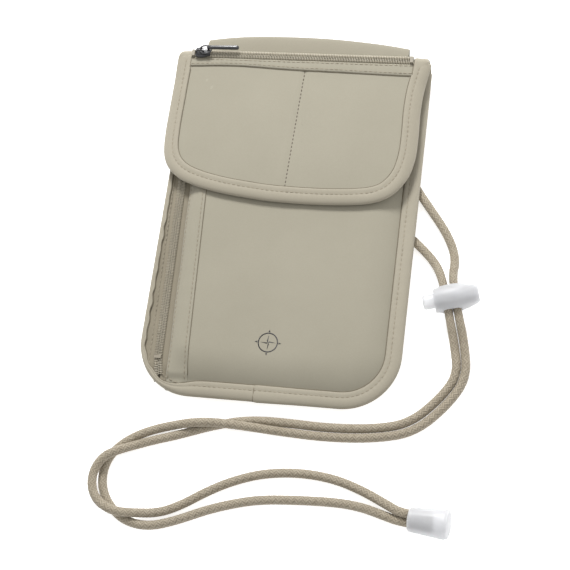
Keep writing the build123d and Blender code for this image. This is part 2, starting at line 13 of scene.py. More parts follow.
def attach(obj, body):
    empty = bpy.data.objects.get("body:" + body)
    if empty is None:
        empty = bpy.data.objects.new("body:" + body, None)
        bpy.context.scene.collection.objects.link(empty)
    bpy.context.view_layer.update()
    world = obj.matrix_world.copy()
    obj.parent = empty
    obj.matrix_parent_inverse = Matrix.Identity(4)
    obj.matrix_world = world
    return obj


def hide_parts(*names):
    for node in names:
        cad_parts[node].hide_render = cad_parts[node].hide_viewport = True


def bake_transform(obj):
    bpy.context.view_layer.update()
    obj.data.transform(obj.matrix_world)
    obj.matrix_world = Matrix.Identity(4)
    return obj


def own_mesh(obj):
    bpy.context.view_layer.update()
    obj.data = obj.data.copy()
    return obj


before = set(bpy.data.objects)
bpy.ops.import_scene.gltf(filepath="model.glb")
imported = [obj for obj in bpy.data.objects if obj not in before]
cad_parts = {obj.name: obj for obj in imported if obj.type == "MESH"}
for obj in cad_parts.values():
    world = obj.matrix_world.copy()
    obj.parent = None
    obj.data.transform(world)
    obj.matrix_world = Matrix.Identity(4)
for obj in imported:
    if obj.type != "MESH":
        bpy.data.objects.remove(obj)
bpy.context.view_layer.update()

MM = 0.001
scene = bpy.context.scene

# ------------------------------------------------------------------ camera

camera_data = bpy.data.cameras.new("camera")
camera_data.sensor_width = 36.0
camera_data.lens = 87.494
camera_data.clip_start = 0.01
camera = bpy.data.objects.new("camera", camera_data)
scene.collection.objects.link(camera)
place = Vector((0.14194, -0.25874, 0.63882))
aim = Vector((0.00459, -0.03729, 0.0060))
back = (place - aim).normalized()
right = Vector((-0.0652, 0.9374, 0.3422)).cross(back).normalized()
camera.matrix_world = Matrix((*zip(right, back.cross(right), back, place), (0, 0, 0, 1)))
scene.camera = camera

# ------------------------------------------------------------------ sizes

CLOTH = 0.6
BODY_LEFT, BODY_RIGHT, BODY_BOTTOM = -63.75, 66.25, -98.0
FOLD_Y, MOUTH_Y = 82.0, 66.0
BODY_CORNER = 28.0
BINDING = 8.0
BINDING_LEFT = 2.9
STITCH_IN = 2.7
SIDE_ZIP_X, SIDE_ZIP_MIDDLE, SIDE_ZIP_TOP = -54.25, -35.0, 60.0
SIDE_TAPE_Z = 8.4
FLAP_ZIP_Y = 84.3
FLAP_ZIP_LEFT, FLAP_ZIP_RIGHT = -59.4, 57.0
FLAP_TAPE_Z = 15.7
CORD = 4.2
LEAN = math.radians(1.6)

# ------------------------------------------------------------------ node trees


def new_tree(name, inputs, outputs, kind="ShaderNodeTree"):
    """Node tree with named sockets: (name, kind, default) inputs and (name, kind) outputs."""
    tree = bpy.data.node_groups.new(name, kind)
    for label, sort, default in inputs:
        socket = tree.interface.new_socket(label, in_out="INPUT", socket_type="NodeSocket" + sort)
        if default is not None:
            socket.default_value = default
    for label, sort in outputs:
        tree.interface.new_socket(label, in_out="OUTPUT", socket_type="NodeSocket" + sort)
    given, result = tree.nodes.new("NodeGroupInput"), tree.nodes.new("NodeGroupOutput")
    return tree, given.outputs, result.inputs


def feed(tree, socket, value):
    """A socket gets a plain value, or a link from another socket."""
    if isinstance(value, bpy.types.NodeSocket):
        tree.links.new(value, socket)
    else:
        socket.default_value = value


def put(tree, kind, modes=None, **inputs):
    """Node with its modes set and its named inputs fed."""
    node = tree.nodes.new("ShaderNode" + kind if kind[:8] not in ("Geometry", "Function") else kind)
    for label, value in (modes or {}).items():
        setattr(node, label, value)
    for label, value in inputs.items():
        feed(tree, node.inputs[label.replace("_", " ")], value)
    return node


def sums(tree):
    """Short maker of Math nodes: sums(tree)('ADD', a, b) gives the socket of a + b."""

    def work(kind, *values):
        node = put(tree, "Math", {"operation": kind})
        for socket, value in zip(node.inputs, values):
            feed(tree, socket, value)
        return node.outputs[0]

    return work


def weave_group():
    """Plain weave on Object coordinates: yarns that pass over and under each other, with slubs."""
    tree, given, result = new_tree(
        "plain_weave",
        [("Yarn spacing mm", "Float", 0.4), ("Slub", "Float", 0.4), ("Rib", "Float", 0.0)],
        [("Height", "Float"), ("Shade", "Float")],
    )
    work = sums(tree)
    where = put(tree, "TexCoord").outputs["Object"]
    parts = put(tree, "SeparateXYZ", Vector=where).outputs
    waves = [
        work("SINE", work("DIVIDE", work("MULTIPLY", parts[axis], 1000 * math.pi), given[0]))
        for axis in ("X", "Y")
    ]
    cross = work("MULTIPLY", *waves)
    rib = work("MULTIPLY", work("ABSOLUTE", waves[1]), given[2])
    slub = put(tree, "TexNoise", Scale=900.0, Detail=3.0, Vector=where)
    uneven = work("MULTIPLY", work("SUBTRACT", slub.outputs["Fac"], 0.5), given[1])
    height = work("ADD", work("ADD", work("MULTIPLY", cross, 0.5), rib), uneven)
    feed(tree, result["Height"], height)
    # Shade is painted shade: darker where the yarns dip under each other.
    feed(tree, result["Shade"], work("ADD", work("MULTIPLY", height, 0.5), 0.5))
    return tree


def handling_group():
    """Slow cloudiness of handled cloth or plastic with fine specks, and a mask of worn edges."""
    tree, given, result = new_tree(
        "handling_marks",
        [("Cloud scale", "Float", 22.0), ("Speck scale", "Float", 1500.0), ("Speck share", "Float", 0.3)],
        [("Cloud", "Float"), ("Worn", "Float")],
    )
    work = sums(tree)
    where = put(tree, "TexCoord").outputs["Object"]
    clouds = put(tree, "TexNoise", Detail=4.0, Roughness=0.55, Vector=where, Scale=given[0])
    specks = put(tree, "TexNoise", Detail=2.0, Vector=where, Scale=given[1])
    slow = work("MULTIPLY", clouds.outputs["Fac"], work("SUBTRACT", 1.0, given[2]))
    mixed = work("ADD", slow, work("MULTIPLY", specks.outputs["Fac"], given[2]))
    feed(tree, result["Cloud"], mixed)
    sharp = put(tree, "NewGeometry").outputs["Pointiness"]
    feed(tree, result["Worn"], work("MULTIPLY", work("GREATER_THAN", sharp, 0.53), mixed))
    return tree


def braid_group():
    """Two-over-two braid on the cord's own UV map: u turns round it and v runs along it in millimetres."""
    tree, given, result = new_tree(
        "braided_yarns",
        [("Yarns", "Float", 8.0), ("Pitch mm", "Float", 1.6)],
        [("Height", "Float"), ("Groove", "Float")],
    )
    work = sums(tree)
    laid = put(tree, "UVMap", {"uv_map": "lay"})
    parts = put(tree, "SeparateXYZ", Vector=laid.outputs[0]).outputs
    round_it = work("MULTIPLY", parts["X"], given[0])
    along = work("DIVIDE", parts["Y"], given[1])
    first = work("ADD", round_it, along)
    second = work("SUBTRACT", round_it, along)
    step = work("SUBTRACT", work("FLOOR", first), work("FLOOR", second))
    over = work("LESS_THAN", work("FLOORED_MODULO", step, 4.0), 2.0)
    yarn = work("ADD", work("MULTIPLY", first, over), work("MULTIPLY", second, work("SUBTRACT", 1.0, over)))
    across = work("SUBTRACT", work("MULTIPLY", work("FRACT", yarn), 2.0), 1.0)
    height = work("SUBTRACT", 1.0, work("MULTIPLY", across, across))
    feed(tree, result["Height"], height)
    # Groove marks the dips between the yarns: it carries the painted shade there and a rougher finish.
    feed(tree, result["Groove"], work("POWER", work("SUBTRACT", 1.0, height), 3.0))
    return tree


# ------------------------------------------------------------------ materials

GROUPS = {"weave": weave_group(), "marks": handling_group(), "braid": braid_group()}


def finish_of(name, rough, cloud_scale=22.0, speck_scale=1500.0, **settings):
    """Material with plain shader settings, and its marks: tree, shader inputs, marks outputs, Math maker."""
    material = bpy.data.materials.new(name)
    material.use_nodes = True
    tree = material.node_tree
    shader = tree.nodes["Principled BSDF"].inputs
    shader["Roughness"].default_value = rough
    for label, value in settings.items():
        shader[label.replace("_", " ")].default_value = value
    marks = put(
        tree, "Group", {"node_tree": GROUPS["marks"]}, Cloud_scale=cloud_scale, Speck_scale=speck_scale
    )
    return material, tree, shader, marks.outputs, sums(tree)


def ramp(tree, factor, low, high, start=0.3, end=0.7):
    """Colour that runs from low to high as the factor goes from start to end."""
    node = put(tree, "ValToRGB", Fac=factor)
    for stop, place, colour in zip(node.color_ramp.elements, (start, end), (low, high)):
        stop.position = place
        stop.color = (*colour, 1)
    return node.outputs["Color"]


def mixed_colour(tree, factor, base, other):
    """Mix of a colour socket and a plain colour by a factor socket."""
    node = put(tree, "Mix", {"data_type": "RGBA"}, Factor=factor)
    feed(tree, node.inputs[6], base)
    feed(tree, node.inputs[7], (*other, 1))
    return node.outputs[2]


def bumped(tree, shader, height, depth_mm, strength):
    """Bump from a height socket to the shader's normal."""
    bump = put(tree, "Bump", Strength=strength, Distance=depth_mm * MM, Height=height)
    feed(tree, shader["Normal"], bump.outputs[0])


def cloth(name, dark, light, yarn, depth, rough=0.78, rib=0.0, slub=0.4, sheen=0.18):
    """Woven cloth: weave relief, painted shade that makes the yarns a little darker where they dip, and clouds
    from handling.
    """
    material, tree, shader, marks, work = finish_of(
        name, rough, Sheen_Weight=sheen, Sheen_Roughness=0.45, Specular_IOR_Level=0.3
    )
    group = {"node_tree": GROUPS["weave"]}
    weave = put(tree, "Group", group, Yarn_spacing_mm=yarn, Slub=slub, Rib=rib).outputs
    shade = work("ADD", work("MULTIPLY", marks["Cloud"], 0.75), work("MULTIPLY", weave["Shade"], 0.25))
    base = ramp(tree, shade, dark, light, 0.34, 0.66)
    paler = tuple(min(1.0, 1.12 * part) for part in light)
    feed(tree, shader["Base Color"], mixed_colour(tree, marks["Worn"], base, paler))
    feed(tree, shader["Roughness"], work("ADD", work("MULTIPLY", weave["Shade"], -0.12), rough + 0.06))
    bumped(tree, shader, weave["Height"], depth, 0.6)
    return material


def braided(name, dark, light, groove_shade):
    """Cord cover: pale yarns, with painted shade that darkens the grooves between them."""
    material, tree, shader, marks, work = finish_of(
        name, 0.72, 500.0, Sheen_Weight=0.2, Sheen_Roughness=0.4
    )
    braid = put(tree, "Group", {"node_tree": GROUPS["braid"]}).outputs
    base = ramp(tree, marks["Cloud"], dark, light, 0.35, 0.65)
    feed(tree, shader["Base Color"], mixed_colour(tree, braid["Groove"], base, groove_shade))
    feed(tree, shader["Roughness"], work("ADD", work("MULTIPLY", braid["Groove"], 0.2), 0.68))
    bumped(tree, shader, braid["Height"], 0.22, 0.8)
    return material


def moulded(name, dark, light, rough, bump_depth=0.01, **settings):
    """Moulded or painted hard finish: faint orange peel, worn edges and an uneven gloss."""
    material, tree, shader, marks, work = finish_of(name, rough, 160.0, 2500.0, **settings)
    base = ramp(tree, marks["Cloud"], dark, light)
    paler = tuple(min(1.0, part + 0.25 * (1 - part) * part + 0.03) for part in light)
    feed(tree, shader["Base Color"], mixed_colour(tree, marks["Worn"], base, paler))
    feed(tree, shader["Roughness"], work("ADD", work("MULTIPLY", marks["Cloud"], 0.16), rough - 0.08))
    bumped(tree, shader, marks["Cloud"], bump_depth, 0.5)
    return material


SHELL = cloth("shell_cloth", (0.302, 0.280, 0.217), (0.338, 0.314, 0.247), 0.34, 0.02)
TRIM = cloth("binding_cloth", (0.322, 0.292, 0.226), (0.364, 0.332, 0.262), 0.30, 0.03, rib=0.25)
# Shell cloth made darker for the cord sleeve: painted shade, since the key light from +Y lights the sleeve
# brighter than the rest of the pouch.
SLEEVE_PAINTED_SHADE = cloth("sleeve_cloth", (0.262, 0.240, 0.184), (0.294, 0.271, 0.212), 0.34, 0.02)
LINING = cloth("lining_cloth", (0.31, 0.285, 0.22), (0.36, 0.33, 0.26), 0.25, 0.02, rough=0.7)
TAPE = cloth("zip_tape", (0.222, 0.195, 0.142), (0.268, 0.238, 0.178), 0.5, 0.06, rib=0.5, sheen=0.1)
PILE = cloth("hook_and_loop", (0.34, 0.31, 0.24), (0.42, 0.385, 0.30), 0.5, 0.25, rough=0.92, slub=3.0)
THREAD = cloth("sewing_thread", (0.235, 0.200, 0.145), (0.30, 0.262, 0.195), 0.2, 0.03, rough=0.6, sheen=0.3)
DARK_THREAD = cloth("centre_thread", (0.075, 0.062, 0.045), (0.12, 0.10, 0.075), 0.2, 0.03, rough=0.6)
# Dark colour of thin tubes along seams and binding edges: painted shadow lines.
SHADOW_LINE_FINISH = cloth("seam_edge", (0.150, 0.126, 0.090), (0.195, 0.167, 0.12), 0.2, 0.03, rough=0.85, sheen=0.0)
COIL = moulded("nylon_coil", (0.40, 0.362, 0.280), (0.47, 0.428, 0.337), 0.55)
STOP = moulded("nylon_stop", (0.20, 0.176, 0.13), (0.25, 0.22, 0.165), 0.5)
BLACK = moulded("black_enamel", (0.010, 0.010, 0.012), (0.022, 0.022, 0.025), 0.36, Coat_Weight=0.25)
# Its third colour is painted shade in the grooves between the yarns.
CORD_COVER = braided("cord_cover", (0.315, 0.268, 0.195), (0.42, 0.365, 0.275), (0.085, 0.066, 0.045))
MILKY = moulded(
    "milky_plastic", (0.74, 0.745, 0.76), (0.82, 0.825, 0.84), 0.42, Transmission_Weight=0.5, IOR=1.42,
)
WIRE = moulded("spring_wire", (0.45, 0.45, 0.46), (0.6, 0.6, 0.61), 0.3, Metallic=1.0)
INK = moulded("screen_print", (0.018, 0.018, 0.020), (0.035, 0.034, 0.034), 0.55, bump_depth=0.02)

# ------------------------------------------------------------------ mesh makers


def mesh_piece(name, points, faces, material, corner_uv=None):
    """Object at the origin from points in millimetres, shaded smooth."""
    mesh = bpy.data.meshes.new(name)
    mesh.from_pydata([(x * MM, y * MM, z * MM) for x, y, z in points], [], faces)
    if corner_uv:
        layer = mesh.uv_layers.new(name="lay")
        for index, pair in enumerate(corner_uv):
            layer.data[index].uv = pair
    mesh.materials.append(material)
    mesh.shade_smooth()
    piece = bpy.data.objects.new(name, mesh)
    scene.collection.objects.link(piece)
    return piece


def settle(piece, body, slot, *nodes):
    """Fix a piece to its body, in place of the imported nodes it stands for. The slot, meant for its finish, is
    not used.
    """
    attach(piece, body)
    if nodes:
        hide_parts(*nodes)


def close_ends(piece):
    """Faces over the open ends of a tube made of rows."""
    work = bmesh.new()
    work.from_mesh(piece.data)
    bmesh.ops.holes_fill(work, edges=[e for e in work.edges if e.is_boundary])
    bmesh.ops.recalc_face_normals(work, faces=work.faces)
    work.to_mesh(piece.data)
    work.free()
    piece.data.shade_smooth()


def tidy_mesh(piece, outward=False):
    """Merge doubles, and turn faces outwards where asked."""
    work = bmesh.new()
    work.from_mesh(piece.data)
    bmesh.ops.remove_doubles(work, verts=work.verts, dist=2e-6)
    bmesh.ops.dissolve_degenerate(work, edges=work.edges, dist=1e-7)
    if outward:
        bmesh.ops.recalc_face_normals(work, faces=work.faces)
    work.to_mesh(piece.data)
    work.free()
    piece.data.shade_smooth()


def grid_piece(name, rows, material, flip=False, thick=0.0, levels=1, ring=False):
    """Sheet through rows of points. Ring joins each row's last point to its first."""
    wide = len(rows[0])
    points = [point for row in rows for point in row]
    faces = []
    for i in range(len(rows) - 1):
        for j in range(wide if ring else wide - 1):
            k = (j + 1) % wide
            face = (i * wide + j, (i + 1) * wide + j, (i + 1) * wide + k, i * wide + k)
            faces.append(face[::-1] if flip else face)
    piece = mesh_piece(name, points, faces, material)
    tidy_mesh(piece)
    if thick:
        shell = piece.modifiers.new("thickness", "SOLIDIFY")
        shell.thickness = thick * MM
        shell.offset = -1
        shell.use_even_offset = True
    if levels:
        round_it = piece.modifiers.new("rounding", "SUBSURF")
        round_it.levels = levels
        round_it.render_levels = levels
    return piece


def stations(lengths, count):
    """Where count equal steps fall on a line of summed lengths: its segment, the share of it, the distance."""
    k = 0
    for i in range(count + 1):
        at = lengths[-1] * i / count
        while k < len(lengths) - 2 and lengths[k + 1] < at:
            k += 1
        yield k, (at - lengths[k]) / max(lengths[k + 1] - lengths[k], 1e-12), at


def even_walk(points, step):
    """Points a step apart along a polyline: x, y, then the inward normal of a clockwise walk, distance."""
    lengths = [0.0]
    for before, after in zip(points, points[1:]):
        lengths.append(lengths[-1] + math.dist(before, after))
    count = max(2, round(lengths[-1] / step))
    walk = []
    for k, share, at in stations(lengths, count):
        (ax, ay), (bx, by) = points[k], points[k + 1]
        walk.append((ax + share * (bx - ax), ay + share * (by - ay), at))
    result = []
    for i, (x, y, at) in enumerate(walk):
        ahead, behind = walk[min(i + 2, count)], walk[max(i - 2, 0)]
        dx, dy = ahead[0] - behind[0], ahead[1] - behind[1]
        size = math.hypot(dx, dy)
        result.append((x, y, dy / size, -dx / size, at))
    return result


def through(points, steps=12):
    """Smooth line through points."""
    line = []
    ends = [points[0]] + list(points) + [points[-1]]
    for a, b, c, d in zip(ends, ends[1:], ends[2:], ends[3:]):
        for i in range(steps):
            t = i / steps
            line.append(tuple(
                0.5 * (
                    2 * q + (r - p) * t + (2 * p - 5 * q + 4 * r - s) * t * t
                    + (3 * q - p - 3 * r + s) * t**3
                )
                for p, q, r, s in zip(a, b, c, d)
            ))
    return line + [points[-1]]


def circle(count):
    """Cosine and sine of count equal steps round a turn."""
    return [(math.cos(angle), math.sin(angle)) for angle in (2 * math.pi * k / count for k in range(count))]


def skin(sides, count, spans):
    """Faces of a tube from count rings of points: each ring is joined to the next, spans times."""
    faces = []
    for i in range(spans):
        near, far = i * sides, (i + 1) % count * sides
        faces += [(near + j, near + (j + 1) % sides, far + (j + 1) % sides, far + j) for j in range(sides)]
    return faces


def signed_power(value, power):
    """Power that keeps the sign, which squares off a circle's sine and cosine."""
    return math.copysign(abs(value) ** power, value)


def ease(t):
    """Smooth step from 0 to 1."""
    t = min(max(t, 0.0), 1.0)
    return t * t * (3 - 2 * t)


def crown(t, power=2.2):
    """Steep rise from 0 that levels off at 1."""
    t = min(max(t, 0.0), 1.0)
    return 1 - (1 - t) ** power


def waves(x, y, size, seed):
    """Slow, even noise from about -1 to 1 over a size in millimetres."""
    return noise.noise(Vector((x / size, y / size, seed)))


# ------------------------------------------------------------------ shapes of the pouch


def rim_distance(x, y, left=BODY_LEFT):
    """How far a point lies inside the pouch's rounded outline."""
    right, radius = BODY_RIGHT, BODY_CORNER
    cx = min(max(x, left + radius), right - radius)
    cy = BODY_BOTTOM + radius
    if y < cy and (x < left + radius or x > right - radius):
        return radius - math.hypot(x - cx, y - cy)
    return min(x - left, right - x, y - BODY_BOTTOM)


def front_height(x, y):
    """Outside of the front panel, which fills out from the binding."""
    rise = crown((rim_distance(x, y, left=-400) - BINDING + 0.3) / 17)
    soft = 0.30 * waves(x, y, 34, 3.1) + 0.10 * waves(x, y, 11, 7.7)
    return 7.5 + 5.05 * rise + soft * rise


def seam_x(y):
    """Seam between the side facing and the front panel."""
    return -41.29 - 0.0458 * y


def facing_x(y):
    """Folded edge of the facing beside the zip."""
    return -50.68 - 0.0348 * y + 0.12 * math.sin(y / 6.5)


def binding_width(x, y):
    """Width of the binding's front: it rolls under on the zip's side."""
    share = ease((-22 - x) / 26) * (1.0 if y > BODY_BOTTOM + 12 else ease((-20 - x) / 36))
    ripple = 0.27 * math.sin(y / 1.45 + 1.5 * waves(y, 0, 20, 3.0)) + 0.3 * waves(y, 0, 4.5, 9.0)
    return BINDING + (BINDING_LEFT - 0.1 + ripple - BINDING) * share


def facing_height(x, y):
    share = (x - facing_x(y)) / (seam_x(y) - facing_x(y))
    near = rim_distance(x, y, left=-400)
    low = 1 - ease((near - 8.5) / 16)
    under = 1.0 * ease((binding_width(x, y) + 0.3 - near) / 1.2)
    rise = (9.5 + 3.5 * crown(share, 1.9)) * (1 - low) + 9.6 * low
    return min(rise + 0.1 * waves(x, y, 9, 2.0), front_height(x, y) + 0.45) - under


def side_zip_at(y):
    """Middle of the side zip."""
    return SIDE_ZIP_X - (y - SIDE_ZIP_MIDDLE) * math.tan(LEAN) + 1.3 * ease((-78 - y) / 14)


def side_tape_height(x, y):
    return SIDE_TAPE_Z - 1.0 * ease((-83 - y) / 6)


def body_outline():
    """Pouch's outline, clockwise from the right end of the fold."""
    line = [(BODY_RIGHT, FOLD_Y)]
    centre_y = BODY_BOTTOM + BODY_CORNER
    for centre_x, start in ((BODY_RIGHT - BODY_CORNER, 0), (BODY_LEFT + BODY_CORNER, 90)):
        for i in range(25):
            angle = -math.radians(start + 90 * i / 24)
            line.append((centre_x + BODY_CORNER * math.cos(angle), centre_y + BODY_CORNER * math.sin(angle)))
    return line + [(BODY_LEFT, FOLD_Y)]


def level_top(walk, y):
    """Straight line between the ends of a walk at a height y, from share 0 to share 1."""
    left, right = walk[0][0], walk[-1][0]
    return lambda share: (left + share * (right - left), y)


def rule_sheet(outline, top, shares, height, in_by=0.0):
    """Rows from an outline walk to the points of the top line."""
    rows = []
    for i, (x, y, nx, ny, at) in enumerate(outline):
        px, py = x + nx * in_by, y + ny * in_by
        qx, qy = top(i / (len(outline) - 1))
        rows.append([])
        for share in shares:
            mx, my = px + share * (qx - px), py + share * (qy - py)
            rows[-1].append((mx, my, height(mx, my)))
    return rows


SHARES = [(i / 46) ** 1.5 for i in range(47)]


def body_part_walk(left_x, top_y, in_by, step):
    """Walk round a panel: down the right side, along the bottom and up its left line."""
    line = [(x, y) for x, y in body_outline() if x > 0]
    line[0] = (BODY_RIGHT, top_y)
    walk = even_walk(line + [(left_x(BODY_BOTTOM) - in_by, BODY_BOTTOM)], 1.0)
    inner = [(x + nx * in_by, y + ny * in_by) for x, y, nx, ny, at in walk]
    inner = [p for p in inner if p[0] > left_x(p[1])]
    inner[0] = (inner[0][0], top_y)
    inner += [(left_x(BODY_BOTTOM + in_by), BODY_BOTTOM + in_by), (left_x(top_y), top_y)]
    return even_walk(inner, step)


# front panel
front_walk = body_part_walk(seam_x, MOUTH_Y, BINDING - 1.6, 1.3)
front_cloth = grid_piece(
    "front_cloth", rule_sheet(front_walk, level_top(front_walk, MOUTH_Y), SHARES, front_height),
    SHELL, flip=True, thick=CLOTH,
)

# divider behind it
divider_left = lambda y: side_zip_at(y) + 3.4
divider_walk = body_part_walk(divider_left, MOUTH_Y, 2.0, 1.8)


def divider_height(x, y):
    inside = rim_distance(x, y, left=-400) - 8
    side = x - divider_left(y)
    return 6.7 + 4.5 * crown(min(inside, side + 1) / 15)


divider_cloth = grid_piece(
    "divider_cloth",
    rule_sheet(divider_walk, level_top(divider_walk, MOUTH_Y), SHARES[::2], divider_height),
    LINING, flip=True, thick=0.5,
)

# back panel
PAN = (1.25, -54.0, 46.0, 30.0)


def back_height(x, y):
    """Outside of the back: it sags to the surface below the papers and lies over the cords above."""
    dx = max(abs(x - PAN[0]) - PAN[2] + 13, 0)
    dy = max(abs(y - PAN[1]) - PAN[3] + 13, 0)
    sag = 1 - ease(math.hypot(dx, dy) / 15)
    calm = 1 - ease((7 - rim_distance(x, y)) / 3)
    return 5.55 - 5.45 * sag + 0.16 * waves(x, y, 26, 5.0) * calm * (1 - sag)


BACK_INSET = 1.2
back_top = lambda t: (BODY_RIGHT - BACK_INSET - t * (BODY_RIGHT - BODY_LEFT - 2 * BACK_INSET), FOLD_Y)
back_cloth = grid_piece(
    "back_cloth", rule_sheet(even_walk(body_outline(), 1.5), back_top, SHARES, back_height, in_by=BACK_INSET),
    SHELL, thick=0.5,
)

# side facing
facing_rows = []
for i in range(120):
    y = SIDE_ZIP_TOP - i * (SIDE_ZIP_TOP + 92.5) / 119
    left, right = facing_x(y), seam_x(y) + 0.5
    row = []
    for j in range(15):
        x = left + (right - left) * j / 14
        row.append((x, y, facing_height(x, y) - (0.35 if j == 0 else 0.0)))
    facing_rows.append(row)
facing_cloth = grid_piece("facing_cloth", facing_rows, SHELL, thick=0.9)

# side zip tapes
for side, name in ((-1, "side_tape_cloth_left"), (1, "side_tape_cloth_right")):
    rows = []
    for i in range(100):
        y = SIDE_ZIP_TOP - i * 152.0 / 99
        middle = side_zip_at(y)
        row = []
        for j in range(9):
            share = j / 8
            if side < 0:
                x = middle - 0.7 - share * (middle - 0.7 - (BODY_LEFT + 2.2))
                drop = 0.9 * ease((share - 0.3) / 0.7) + 0.16 * math.sin(y / 3.1) * share
            else:
                x = middle + 0.7 + share * 5.0
                drop = 0.0
            if rim_distance(x, y) < 2.0:
                x += 2.0 - rim_distance(x, y)
            row.append((x, y, side_tape_height(x, y) - drop))
        rows.append(row)
    tape = grid_piece(name, rows, TAPE, flip=side < 0, thick=0.4, levels=0)
    settle(tape, "pouch", "zip_tape", "side_zip_tape_left" if side < 0 else "side_zip_tape_right")

# body binding
PROFILE_FRONT = (
    (0.0, 7.8), (0.015, 8.2), (0.06, 8.42), (0.14, 8.5), (0.26, 8.46), (0.34, 8.24), (0.42, 8.46), (0.55, 8.52),
    (0.68, 8.40), (0.80, 8.12), (0.90, 7.72), (0.96, 7.3), (1.0, 6.7),
)
PROFILE_BACK = (
    (0.1, 6.0), (0.45, 5.45), (1.1, 5.1), (2.2, 4.95), (4.4, 4.92), (5.3, 5.02), (6.2, 4.92), (7.7, 4.95),
    (8.0, 5.2),
)
LAP_X = -3.0


def pucker_at(at, size, seed):
    """Small waves that the stitches draw along a binding."""
    return 0.10 * math.sin(at * 2 * math.pi / 2.9) + 0.16 * waves(at, 0, size, seed)


def binding_lap(x, y):
    """Extra thickness where the binding's end laps over its start at the bottom."""
    if y > BODY_BOTTOM + 20 or x < LAP_X:
        return 0.0
    return 0.55 * (1 - ease((x - LAP_X) / 26))


body_walk = even_walk(body_outline(), 1.1)
binding_rows = []
for x, y, nx, ny, at in body_walk:
    wide = binding_width(x, y)
    narrow_share = 1 - (wide - BINDING_LEFT) / (BINDING - BINDING_LEFT)
    lap = binding_lap(x, y)
    pucker = pucker_at(at, 6, 4.0)
    row = []
    for share, z in PROFILE_FRONT:
        d = wide * (1 - share) - lap * share * 0.8
        lift = lap + pucker * max(0.0, 1 - abs(share - 0.34) / 0.3) * (1 - narrow_share)
        lift += 0.25 * narrow_share * (1 - share) * (1 + waves(at, 2, 3.5, 6.0))
        row.append((x + nx * d, y + ny * d, z + lift))
    for d, z in PROFILE_BACK:
        row.append((x + nx * (d - lap * 0.5), y + ny * (d - lap * 0.5), z - 0.3 * lap))
    binding_rows.append(row)
binding_cloth = grid_piece("binding_cloth", binding_rows, TRIM, thick=0.45)

# ------------------------------------------------------------------ shapes of the flap

FLAP_KEYS = (
    (66.4, 83.4), (65.1, 76.0), (63.7, 67.0), (63.2, 56.0), (63.5, 42.0), (63.0, 30.0), (60.2, 19.0),
    (54.0, 10.2), (45.7, 5.6), (34.0, 3.6), (15.3, 2.8), (-5.4, 3.2), (-20.0, 4.6), (-33.0, 6.4),
    (-46.0, 9.4), (-56.0, 13.4), (-63.0, 19.6), (-66.8, 28.0), (-67.9, 40.0), (-67.9, 56.0), (-67.7, 72.0),
    (-67.5, 83.4),
)


def flap_lift(x, y):
    """How the flap's sides hang a little lower than its middle, which is flat where it is sewn to the zip."""
    left = 2.2 * ease((-59.5 - x) / 9.5)
    right = 2.3 * ease((x - 56.5) / 9.5)
    free = 1 - ease((y - 68) / 14)
    swell = 0.55 * math.sin(math.pi * min(max((y - 3) / 72, 0), 1)) * (1 - (x / 70) ** 2)
    return swell * free - (left + right) * (0.35 + 0.65 * free) + 0.16 * waves(x, y, 24, 11.0) * free


def flap_front_height(x, y):
    centre = 0.35 * math.exp(-(((x - flap_centre_x(y)) / 1.3) ** 2)) if y < 77 else 0.0
    return 15.30 + flap_lift(x, y) - centre


def flap_centre_x(y):
    """Row of stitches down the middle of the flap."""
    return 1.55 - 0.052 * (74 - y) * 0.6


flap_walk = even_walk(through(FLAP_KEYS), 1.1)
flap_inner = [(x + nx * 6.9, y + ny * 6.9) for x, y, nx, ny, at in flap_walk]
FLAP_TOP = 80.6
flap_inner = [p for p in flap_inner if p[1] < FLAP_TOP]
flap_inner = even_walk([(flap_inner[0][0], FLAP_TOP)] + flap_inner + [(flap_inner[-1][0], FLAP_TOP)], 1.3)
flap_top = level_top(flap_inner, FLAP_TOP)
flap_cloth = grid_piece(
    "flap_cloth", rule_sheet(flap_inner, flap_top, SHARES, flap_front_height), SHELL, flip=True, thick=0.5
)
lining_rows = rule_sheet(flap_inner, flap_top, SHARES[::2], lambda x, y: 14.15 + flap_lift(x, y))
flap_lining_cloth = grid_piece("flap_lining_cloth", lining_rows, LINING, thick=-0.4)

FLAP_PROFILE_FRONT = (
    (0.0, 15.35), (0.015, 15.75), (0.06, 15.98), (0.14, 16.06), (0.28, 16.0), (0.36, 15.78), (0.44, 16.0),
    (0.57, 16.08), (0.70, 15.98), (0.82, 15.72), (0.92, 15.3), (1.0, 14.6),
)
FLAP_PROFILE_BACK = (
    (0.15, 14.05), (0.7, 13.75), (1.8, 13.62), (4.6, 13.6), (5.4, 13.7), (6.2, 13.6), (7.8, 13.62), (8.0, 13.8),
)
FLAP_BINDING = 8.4
flap_binding_rows = []
for x, y, nx, ny, at in flap_walk:
    pucker = pucker_at(at, 7, 14.0)
    row = []
    for share, z in FLAP_PROFILE_FRONT:
        d = FLAP_BINDING * (1 - share)
        px, py = x + nx * d, y + ny * d
        row.append((px, py, z + flap_lift(px, py) + pucker * max(0.0, 1 - abs(share - 0.36) / 0.3)))
    for d, z in FLAP_PROFILE_BACK:
        px, py = x + nx * d, y + ny * d
        row.append((px, py, z + flap_lift(px, py)))
    flap_binding_rows.append(row)
flap_binding_cloth = grid_piece("flap_binding_cloth", flap_binding_rows, TRIM, thick=0.45)

# hem band below the zip
HEM_LOW = 76.6


def hem_low_at(x):
    """Lower seam of the hem band, which bows up a little on the left."""
    return HEM_LOW + 1.5 * math.exp(-(((x + 36) / 24) ** 2)) - 0.9 * ease((x - 5) / 50)


